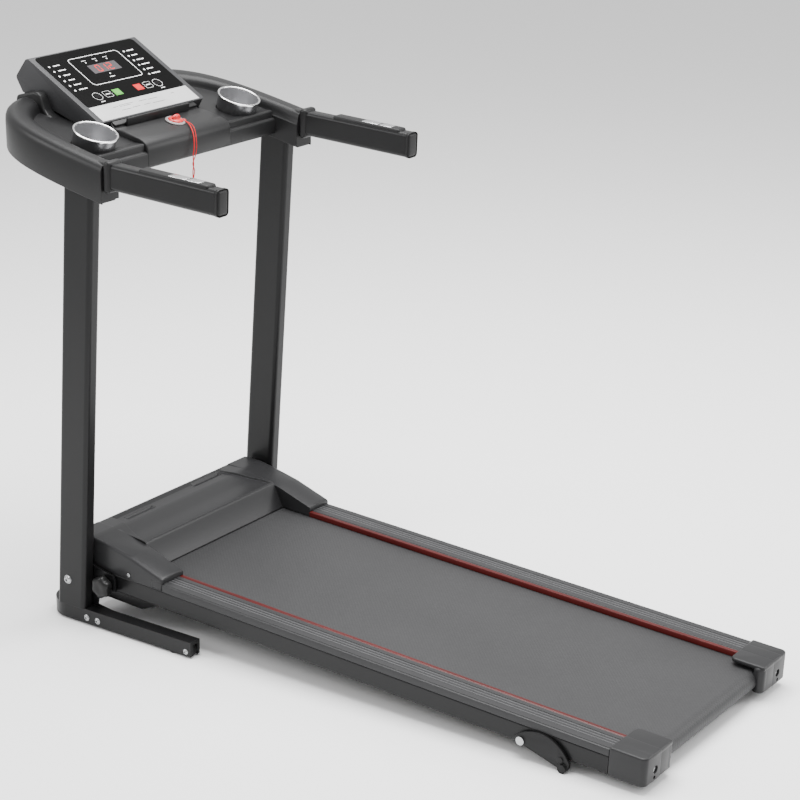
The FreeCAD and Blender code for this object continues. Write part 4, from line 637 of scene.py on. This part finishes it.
window = block("display_window", (-39, 128.7, PRINT - 0.1), (38, 154, PRINT + 0.15), 0.1, FACE, 1)
finished(window, finish("display_smoke", (0.05, 0.046, 0.05), 0.3, relief=0.02, edge=0.2), "stand",
         "overlay_gloss")
lit_red = finish("lit_red", (0.4, 0.004, 0.003), 0.5, relief=0.02, edge=0.1)
lit_red.node_tree.nodes["Principled BSDF"].inputs["Emission Color"].default_value = (1, 0.015, 0.01, 1)
lit_red.node_tree.nodes["Principled BSDF"].inputs["Emission Strength"].default_value = 0.7
SEGMENTS = {"a": (0, 2, 1), "b": (1, 1, 0), "c": (1, 0, 0), "d": (0, 0, 1), "e": (0, 0, 0), "f": (0, 1, 0),
            "g": (0, 1, 1)}
DIGIT_WIDE, DIGIT_HIGH, BAR = 10, 9, 2
bars = []
for number, lit in enumerate(("abcdef", "bc", "abged")):
    left, base = -22 + 16 * number, 132.4
    for letter in lit:
        column, row, flat = SEGMENTS[letter]
        x, y = left + column * DIGIT_WIDE, base + row * DIGIT_HIGH
        if flat:
            bars.append(mark(x + 1, y - BAR / 2, x + DIGIT_WIDE - 0.2, y + BAR / 2, 0.3))
        else:
            bars.append(mark(x - BAR / 2, y + 0.8, x + BAR / 2, y + DIGIT_HIGH - 0.8, 0.3))
finished(joined("display_digits", bars), lit_red, "stand", "overlay_gloss")

# ---------------------------------------------------------------- safety key, its socket and lanyard
# A red magnet key with a finger grip sits in a smoky clear socket; a thin woven red lanyard ties
# it to a small clip that goes on the walker's clothes.
KEY_PLACE = at(13, 487, 940.2) @ Matrix.Rotation(atan2(8, 30), 4, "X")
key_red = finish("key_red_gloss", (0.5, 0.005, 0.007), 0.25, mottle=0.08, cloud=70, grain=800, relief=0.04,
                 edge=0.8, wear=1.3, specular=0.5)
disc = lathe("key_disc", [(AXIS, -0.6), (14, -0.6), (14.1, 3.4), (13.4, 5), (11.8, 6), (9, 6.8),
                          (AXIS, 7.2)], KEY_PLACE)
bpy.ops.mesh.primitive_uv_sphere_add(segments=40, ring_count=20, radius=1)
grip = bpy.context.object
grip.scale = (11.4 * MM, 4.8 * MM, 8 * MM)
bpy.ops.object.transform_apply(location=True, rotation=True, scale=True)
grip.data.transform(KEY_PLACE @ at(0, 0, 7))
eye = lathe("key_eye", [(2, 2), (3.4, 1.6), (4.6, 2.2), (4.9, 3.5), (4.6, 4.8), (3.4, 5.4), (2, 5), (2, 2)],
            KEY_PLACE @ at(13.6, -9, 0), 32)
finished(joined("safety_key_body", [disc, grip, eye]), key_red, "safety_key", "key_red", "safety_key")
smoke = finish("socket_smoke", (0.3, 0.27, 0.27), 0.2, mottle=0.1, cloud=60, relief=0.03, edge=0.6)
smoke.node_tree.nodes["Principled BSDF"].inputs["Transmission Weight"].default_value = 0.35
socket = lathe("key_socket", [(14.6, -0.5), (17, -0.5), (19.5, 0.4), (20, 1.6), (19, 3), (17, 3.8),
                              (15.2, 3.6), (14.6, 2.8), (14.6, -0.5)], KEY_PLACE, 64)
finished(socket, smoke, "stand", "console_black")

ROUTE = ((0.027, 0.4745, 0.940), (0.024, 0.465, 0.9388), (0.019, 0.456, 0.9363), (0.013, 0.447, 0.932),
         (0.007, 0.4375, 0.9255), (0.003, 0.432, 0.913), (0.0005, 0.4303, 0.898), (-0.003, 0.431, 0.882),
         (-0.002, 0.430, 0.866), (-0.0055, 0.4306, 0.851), (-0.005, 0.430, 0.837))
CORD_WIDE = 0.0022
woven = finish("lanyard_weave", (0.42, 0.006, 0.008), 0.6, mottle=0.2, cloud=900, grain=2500, relief=0.6,
               edge=0.2)


def drawn(name, route, wide, roundness, steps):
    """A round cord of even thickness through a route in metres."""
    line = bpy.data.curves.new(name, "CURVE")
    line.dimensions = "3D"
    line.bevel_depth = wide / 2
    line.bevel_resolution = roundness
    line.resolution_u = steps
    run = line.splines.new("NURBS")
    run.points.add(len(route) - 1)
    for point, place in zip(run.points, route):
        point.co = (*place, 1)
    run.order_u = 3
    run.use_endpoint_u = True
    line.materials.append(woven)
    cord = bpy.data.objects.new(name, line)
    bpy.context.scene.collection.objects.link(cord)
    return cord


lanyard = drawn("lanyard", ROUTE, CORD_WIDE, 4, 12)
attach(lanyard, "safety_key")
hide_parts("lanyard_cord")
TWIN = ((0.0265, 0.4742, 0.9402), (0.026, 0.463, 0.9384), (0.023, 0.453, 0.9362), (0.0185, 0.444, 0.931),
        (0.0125, 0.436, 0.922), (0.008, 0.4305, 0.905), (0.0065, 0.430, 0.890), (0.001, 0.4302, 0.878),
        (-0.0065, 0.4305, 0.868), (0.0005, 0.4300, 0.856), (-0.0015, 0.4303, 0.846), (-0.005, 0.430, 0.837))
twin = drawn("lanyard_twin", TWIN, CORD_WIDE - 0.0004, 3, 10)
alone(twin)
bpy.ops.object.convert(target="MESH")
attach(twin, "safety_key")
clip_place = Matrix.Translation(ROUTE[-1])
clip_bar = block("clip_bar", (-1.6, -1.6, -30), (1.6, 1.6, -9), 1.2, clip_place)
SIDE_ON = Matrix.Rotation(radians(90), 4, "X")
clip_ring = lathe("clip_ring", [(2.4, -1), (3.2, -1.2), (4.1, -0.8), (4.4, 0), (4.1, 0.8), (3.2, 1.2),
                                (2.4, 1), (2.4, -1)], clip_place @ at(0, 0, -5) @ SIDE_ON, 32)
clip_jaw = lathe("clip_jaw", [(3.6, -1.2), (4.6, -1.5), (5.4, -0.9), (5.4, 0.9), (4.6, 1.5), (3.6, 1.2),
                              (3.6, -1.2)], clip_place @ at(0, 0, -24.4) @ SIDE_ON, 32)
clip = joined("lanyard_clip_hook", [clip_bar, clip_ring, clip_jaw])
finished(clip, finish("clip_black", (0.03, 0.03, 0.03), 0.3, metal=0.6, relief=0.05, edge=0.4),
         "safety_key", "clip_black", "lanyard_clip")

# ---------------------------------------------------------------- side rails
# Extruded plastic treads: a lip over the frame, ribbed foothold bands, and a red insert along the
# edge beside the belt. The tops of the narrow ribs carry a painted highlight in a lighter grey.
rail_grey = finish("rail_grey", (0.026, 0.026, 0.027), 0.38, mottle=0.08, cloud=5, grain=800, relief=0.14,
                   edge=0.5, wear=1.5)
rail_red = finish("rail_red", (0.06, 0.005, 0.0045), 0.34, mottle=0.15, cloud=8, grain=700, relief=0.1,
                  edge=0.4)
# Painted highlight: the tops of the narrow ribs take this lighter grey in place of the light they catch.
rail_rib_highlight = finish("rail_rib_highlight", (0.075, 0.075, 0.078), 0.36, mottle=0.1, cloud=30, grain=900, relief=0.1,
                  edge=0.4)
DECK_RISE = radians(2.662)
DECK = Matrix.Translation(HINGE) @ Matrix.Rotation(DECK_RISE, 4, "X")
RAIL_INNER, RAIL_OUTER, RAIL_TOP, RAIL_LIP = 200, 262, 36, 22
RAIL_REAR, RAIL_FRONT = -1190, -203.5
RED_WIDE = 9
rib = 1.1
RAIL_SECTION = [(RAIL_INNER + 2.5, 26), (RAIL_INNER, 26), (RAIL_INNER, RAIL_TOP - 1),
                (RAIL_INNER + 0.5, RAIL_TOP - 0.2), (RAIL_INNER + 1.2, RAIL_TOP),
                (RAIL_INNER + RED_WIDE - 1, RAIL_TOP), (RAIL_INNER + RED_WIDE, RAIL_TOP - 0.8),
                (RAIL_INNER + RED_WIDE + 1, RAIL_TOP - 0.8)]
for start, wide in ((11, 10), (24, 2.6), (32, 2.6), (40, 2.6), (46, 12)):
    for across, up in ((0, 0), (0.6, rib), (wide - 0.6, rib), (wide, 0)):
        RAIL_SECTION.append((RAIL_INNER + start + across, RAIL_TOP - 0.4 + up))
RAIL_SECTION += [(RAIL_OUTER - 2, RAIL_TOP - 0.4), (RAIL_OUTER - 0.6, RAIL_TOP - 1),
                 (RAIL_OUTER, RAIL_TOP - 2.4), (RAIL_OUTER, RAIL_LIP + 0.4), (RAIL_OUTER - 0.4, RAIL_LIP),
                 (RAIL_OUTER - 2.5, RAIL_LIP), (RAIL_OUTER - 2.5, RAIL_TOP - 3.4),
                 (RAIL_INNER + 2.5, RAIL_TOP - 3.4)]
for side, sign in SIDES.items():
    rings = [[(sign * x, y, z) for y in (RAIL_REAR, RAIL_FRONT)] for x, z in RAIL_SECTION]
    rail = strip("rail_" + side, rings)
    rail.data.materials.append(rail_grey)
    rail.data.materials.append(rail_red)
    rail.data.materials.append(rail_rib_highlight)
    for face in rail.data.polygons:
        if abs(face.center.x) < (RAIL_INNER + RED_WIDE - 0.2) * MM and len(face.vertices) == 4:
            face.material_index = 1
        # the tops and upper sides of the three narrow ribs take the painted highlight
        elif 0.223 < abs(face.center.x) < 0.243 and face.center.z > (RAIL_TOP + 0.05) * MM:
            face.material_index = 2
    rail.data.transform(DECK)
    finished(rail, rail_grey, "deck", "rail_grey", "side_rail_" + side)

# ---------------------------------------------------------------- running belt, board and rollers
# A woven PVC belt with a fine diamond emboss runs over a waxed board and two steel rollers; shade is
# painted darker into the emboss's grooves.
belt_pvc = finish("belt_pvc", (0.036, 0.036, 0.037), 0.5, mottle=0.06, cloud=6, grain=1400, relief=0.1,
                  edge=0.8)
tree = belt_pvc.node_tree
turned = tree.nodes.new("ShaderNodeMapping")
turned.inputs["Rotation"].default_value = (0, 0, radians(45))
emboss = tree.nodes.new("ShaderNodeTexBrick")
emboss.offset = 0
for socket, value in (("Scale", 1), ("Mortar Size", 0.0006), ("Mortar Smooth", 0.5),
                      ("Brick Width", 0.0055), ("Row Height", 0.0055)):
    emboss.inputs[socket].default_value = value
diamonds = tree.nodes.new("ShaderNodeBump")
diamonds.inputs["Strength"].default_value = 0.35
diamonds.inputs["Distance"].default_value = 0.4 * MM
diamonds.invert = True
grain_bump = next(n for n in tree.nodes if n.type == "BUMP" and n != diamonds)
coordinates = next(n for n in tree.nodes if n.type == "TEX_COORD")
tree.links.new(coordinates.outputs["Object"], turned.inputs["Vector"])
tree.links.new(turned.outputs["Vector"], emboss.inputs["Vector"])
tree.links.new(emboss.outputs["Fac"], diamonds.inputs["Height"])
tree.links.new(grain_bump.outputs["Normal"], diamonds.inputs["Normal"])
tree.links.new(diamonds.outputs["Normal"], tree.nodes["Principled BSDF"].inputs["Normal"])
# Painted shade: the mortar colour darkens the emboss's grooves, and the two brick colours vary the
# diamonds' tone a little.
emboss.inputs["Color1"].default_value = (1, 1, 1, 1)
emboss.inputs["Color2"].default_value = (0.8, 0.8, 0.8, 1)
emboss.inputs["Mortar"].default_value = (0.45, 0.45, 0.45, 1)
emboss_shade_and_tone = tree.nodes.new("ShaderNodeMix")
emboss_shade_and_tone.data_type = "RGBA"
emboss_shade_and_tone.blend_type = "MULTIPLY"
emboss_shade_and_tone.inputs["Factor"].default_value = 0.5
base = tree.nodes["Principled BSDF"].inputs["Base Color"]
tree.links.new(base.links[0].from_socket, emboss_shade_and_tone.inputs["A"])
tree.links.new(emboss.outputs["Color"], emboss_shade_and_tone.inputs["B"])
tree.links.new(emboss_shade_and_tone.outputs["Result"], base)
dress(belt_pvc, "running_belt")
dress(finish("board_wood", (0.33, 0.22, 0.13), 0.35, mottle=0.25, cloud=30, grain=250, relief=0.15),
      "running_board")
dress(rubber, "board_cushions", "drive_belt")
roller_steel = finish("roller_steel", (0.55, 0.56, 0.57), 0.26, metal=1.0, mottle=0.06, cloud=50,
                      grain=1600, relief=0.06)
dress(roller_steel, "drive_roller", "rear_roller", "roller_axles", "motor_rotor")

# ---------------------------------------------------------------- motor, controller, inlet and switch
# The drive under the cover: an enamelled motor can, a finned alloy controller, and the mains
# inlet with its rocker switch in the cover's front wall.
dress(finish("motor_paint", (0.012, 0.012, 0.013), 0.25, grain=500, relief=0.08), "motor_can")
dress(finish("controller_alloy", (0.45, 0.45, 0.46), 0.45, metal=0.9, mottle=0.12, cloud=60, relief=0.25),
      "motor_controller")
inlet_black = finish("inlet_black", (0.008, 0.008, 0.008), 0.3, grain=900, relief=0.08)
finished(eased("inlet_and_switch_frame", "power_inlet", 0.6, 2), inlet_black, "deck", "inlet_black",
         "power_inlet")
finished(eased("rocker", "power_switch", 0.8, 3), key_red, "power_switch", "rocker_red", "power_switch")

# ---------------------------------------------------------------- motor cover
# A wide satin grey moulding: a crowned top with a sunken panel and two long finger slots, a
# sloping fascia that meets the belt, and two wings that run down onto the rails.
cover_grey = finish("cover_grey", (0.0185, 0.0185, 0.0193), 0.33, mottle=0.06, cloud=4, grain=900,
                    relief=0.12, edge=1.6, wear=1.4)
COVER_TOP = ((15, 82.4), (-28, 83.4), (-73.5, 76.5), (-125, 66.9), (-176, 52.2), (-203, 44.5), (-210, 42.3))
RIDGE_V, RIDGE_W, FASCIA_V, FASCIA_W = -109.6, 75.2, -135, 26.8
INNER, OUTER, COVER_LOW = 200, 262, 22


def top_at(v):
    """The cover's height along its length, a smooth line through its side profile."""
    for (v1, w1), (v0, w0) in zip(COVER_TOP, COVER_TOP[1:]):
        if v >= v0:
            return w0 + (w1 - w0) * (v - v0) / (v1 - v0)
    return COVER_TOP[-1][1]


def rise(value, low, high):
    part = max(0, min(1, (value - low) / (high - low)))
    return part * part * (3 - 2 * part)


def slot_depth(x, v):
    """Two long finger slots near the front edge."""
    deep = 0
    for low_x, high_x, centre in ((-144, -66, -11), (71, 155, 0)):
        inside = rise(x, low_x - 3, low_x + 1) * (1 - rise(x, high_x - 1, high_x + 3))
        deep = max(deep, inside * (1 - rise(abs(v - centre), 4.5, 7.5)))
    return 4 * deep


PANEL_LINE = 182


def panel_half(v):
    """Half the sunken panel's width, which grows toward the ridge."""
    return 164 + 29 * rise(-v, 0, 105)


def place_across(x, v):
    """Moves a station sideways so that one column runs along the panel's edge."""
    if abs(x) > INNER:
        return x
    half = panel_half(v)
    if abs(x) <= PANEL_LINE:
        return x * half / PANEL_LINE
    if abs(x) <= PANEL_LINE + 2:
        return copysign(half + abs(x) - PANEL_LINE, x)
    return copysign(half + 2 + (abs(x) - PANEL_LINE - 2) * (INNER - half - 2) / (INNER - PANEL_LINE - 2), x)


def middle_top(x, v, station):
    panel = ((1 - rise(abs(station), PANEL_LINE, PANEL_LINE + 2)) * rise(-v, -10, -5)
             * (1 - rise(-v, 103.5, 105.5)))
    crown = 3.2 * cos(pi * (v + 47) / 150) if v > RIDGE_V else 0
    ridge = (RIDGE_W - top_at(RIDGE_V)) * rise(-v, 60, 109)
    return top_at(v) + ridge + crown * 0.5 - 4.2 * panel - slot_depth(x, v)


edge_x = (0, 0.6, 2, 4.5, 9)
xs = [-OUTER + e for e in edge_x] + [-236, -218, -206, -INNER - 2, -INNER - 0.01]
margin = [PANEL_LINE + step for step in (0, 0.5, 1, 1.5, 2, 4, 8, 12, 15, 17.99)]
xs += [-x for x in reversed(margin)] + [1.75 * i - PANEL_LINE for i in range(1, 208)] + margin
xs += [INNER + 0.01, INNER + 2]
xs += [206, 218, 236] + [OUTER - e for e in reversed(edge_x)]
vs = [15, 14.9, 14, 12, 8] + [4 - 1.5 * i for i in range(19)]
vs += [-28, -36, -44, -52, -60, -68, -76, -84, -92, -98]
vs += [-102, -103.5, -104.7, -106, -107.6, RIDGE_V, -110.6, -112, -116, -121, -126, -130, FASCIA_V, -140,
       -150, -160]
vs += [-168, -176, -184, -192, -198, -202, -204.4, -205.5]
EDGE_DROP = {OUTER: 5, OUTER - 0.6: 2.6, OUTER - 2: 1.1, OUTER - 4.5: 0.3}
points, faces = [], []
for v in vs:
    for station in xs:
        x = place_across(station, v)
        wing = abs(station) > INNER
        crown = 3.6 * sin(pi * max(0, min(1, (abs(x) - INNER) / 62))) * rise(-v, 60, 120) if wing else 0
        w = top_at(v) + crown + 1.6 if wing else middle_top(x, v, station)
        w -= (EDGE_DROP.get(abs(x), 0) + 5 * (1 - rise(15 - v, 0, 1))
              + 1.2 * (1 - rise(v + 205.5, 0, 1.5)) * wing)
        if not wing and v < RIDGE_V:
            w = RIDGE_W + 0.8 - (RIDGE_W - FASCIA_W) * (RIDGE_V - v) / (RIDGE_V - FASCIA_V)
            w -= 2.2 * sin(pi * max(0, min(1, (RIDGE_V - v) / (RIDGE_V - FASCIA_V))))
            w = max(w, FASCIA_W)
        points.append(Vector((x, v, w)))
wide = len(xs)
for row in range(len(vs) - 1):
    for column in range(wide - 1):
        middle = abs(xs[column] + xs[column + 1]) / 2 < INNER
        if middle and vs[row + 1] < FASCIA_V - 0.1:
            continue
        faces.append((row * wide + column, row * wide + column + 1, (row + 1) * wide + column + 1,
                      (row + 1) * wide + column))


def wall(line, height):
    """Faces from a line of existing points down to a height, or to a function of the point."""
    base = len(points)
    for index in line:
        low = points[index].copy()
        low.z = height(low) if callable(height) else height
        points.append(low)
    faces.extend((line[i + 1], line[i], base + i, base + i + 1) for i in range(len(line) - 1))


left = [row * wide for row in range(len(vs))]
right = [row * wide + wide - 1 for row in range(len(vs))]
wall(list(reversed(left)), COVER_LOW)
wall(right, COVER_LOW)
wall(list(range(wide)), COVER_LOW)
last = (len(vs) - 1) * wide
inner_left = max(i for i, x in enumerate(xs) if x < -INNER)
inner_right = min(i for i, x in enumerate(xs) if x > INNER)
wall(list(reversed(range(last, last + inner_left + 1))), 37)
wall(list(reversed(range(last + inner_right, last + wide))), 37)
shell = bpy.data.meshes.new("cover")
shell.from_pydata([p * MM for p in points], [], faces)
cover = bpy.data.objects.new("motor_cover_moulding", shell)
bpy.context.scene.collection.objects.link(cover)
alone(cover)
bpy.ops.object.mode_set(mode="EDIT")
bpy.ops.mesh.select_all(action="SELECT")
bpy.ops.mesh.delete_loose()
bpy.ops.mesh.remove_doubles(threshold=0.04 * MM)
bpy.ops.mesh.normals_make_consistent(inside=False)
bpy.ops.object.mode_set(mode="OBJECT")
crest = max(cover.data.polygons, key=lambda face: face.center.z)
if crest.normal.z < 0:
    bpy.ops.object.mode_set(mode="EDIT")
    bpy.ops.mesh.select_all(action="SELECT")
    bpy.ops.mesh.flip_normals()
    bpy.ops.object.mode_set(mode="OBJECT")
thick = cover.modifiers.new("wall", "SOLIDIFY")
thick.thickness = 2.2 * MM
thick.offset = -1
bpy.ops.object.modifier_apply(modifier="wall")
cover.data.transform(DECK)
for low_x, high_x in ((160, 190), (205, 223)):
    combined(cover, block("opening", (low_x, 5, 35), (high_x, 30, 59), 0.5, DECK, 1))
clips = [block("cover_clip", (min(sign * 258, sign * 262.8), -204, 24),
               (max(sign * 258, sign * 262.8), -179, 40), 1.1, DECK, 2) for sign in SIDES.values()]
cover = joined("motor_cover_moulding", [cover, *clips])
finished(cover, cover_grey, "deck", "cover_grey", "motor_cover")
finished(eased("belly_pan_moulding", "belly_pan", 3, 3), frame_black, "deck", "cover_grey", "belly_pan")

# ---------------------------------------------------------------- rear caps
# Moulded end caps: a rounded box that plugs each rail, a tongue over the belt's edge and a lobe
# round the roller's end, with two holes behind for the belt's tension bolt and the fixing screw.
cap_grey = finish("cap_grey", (0.0175, 0.0175, 0.0182), 0.36, mottle=0.06, cloud=8, grain=900, relief=0.14,
                  edge=1.4, wear=1.5)
CAP_REAR, CAP_FRONT, CAP_TOP, CAP_LOW = -1261.7, -1190, 40, -14.5


def cap_block(sign, low, high):
    (near, rear, under), (far, front, top) = low, high
    xs = (near, far) if sign > 0 else (-far, -near)
    return block("cap", (xs[0], rear, under), (xs[1], front, top), 0.01, LEVEL, 1)


def upright_edge(x, y):
    """Picks the plain vertical edge at this place in the deck's plan."""
    def stands_here(*ends):
        return (abs(ends[0].z - ends[1].z) > 0.002
                and all(abs(end.x / MM - x) < 1 and abs(end.y / MM - y) < 1 for end in ends))
    return stands_here


REARWARD = Matrix.Rotation(radians(-90), 4, "X")
for side, sign in SIDES.items():
    body = cap_block(sign, (209, CAP_REAR, CAP_LOW), (262.8, CAP_FRONT, CAP_TOP))
    tongue = cap_block(sign, (169, CAP_REAR + 0.2, 31), (240, CAP_FRONT - 1, CAP_TOP - 0.06))
    back = cap_block(sign, (178, CAP_REAR + 0.4, -12), (214, CAP_REAR + 3.4, 37))
    for part in (body, tongue, back):
        alone(part)
        bpy.ops.object.mode_set(mode="EDIT")
        bpy.ops.mesh.select_all(action="SELECT")
        bpy.ops.mesh.remove_doubles(threshold=0.05 * MM)
        bpy.ops.object.mode_set(mode="OBJECT")
    cornered(body, 11, upright_edge(sign * 262.8, CAP_REAR), 6)
    cornered(tongue, 12, upright_edge(sign * 169, CAP_FRONT - 1), 6)
    for part, width in ((body, 3.6), (tongue, 3.4), (back, 1.2)):
        softened(part, width, 4, 50)
        part.data.transform(DECK)
    lobe = lathe("lobe", [(AXIS, -13), (9.5, -13), (11.6, -11), (11.6, 31), (10.6, 34.6), (8, 36.4),
                          (AXIS, 36.8)], DECK @ at(sign * 177, CAP_REAR + 11.9, 0), 40)
    for hole_x, hole_w, radius in ((227, 8, 7.4), (229, -6, 3.4)):
        combined(body, lathe("hole", [(AXIS, -6), (radius, -6), (radius, 9), (AXIS, 9)],
                            DECK @ at(sign * hole_x, CAP_REAR, hole_w) @ REARWARD, 24))
    finished(joined("rear_cap_moulding_" + side, [body, tongue, lobe, back]), cap_grey, "deck", "cap_grey",
             "rear_cap_" + side)

# ---------------------------------------------------------------- deck screws and incline feet
# The feet are nylon half-moons on shouldered bolts; turned down, they raise the deck's rear.
dress(zinc, "deck_screws")
foot_black = finish("foot_black", (0.0075, 0.0075, 0.0078), 0.38, grain=900, relief=0.15, edge=1.4,
                    wear=1.8)
for side in SIDES:
    finished(eased("foot_" + side, "incline_foot_" + side, 1, 3), foot_black, "incline_foot_" + side,
             "foot_black", "incline_foot_" + side)

# ---------------------------------------------------------------- fold strut
# A ground steel rod that slides in a painted gas cylinder.
dress(roller_steel, "strut_rod")
dress(finish("strut_paint", (0.008, 0.008, 0.008), 0.3, grain=500, relief=0.06, wear=2), "strut_cylinder")
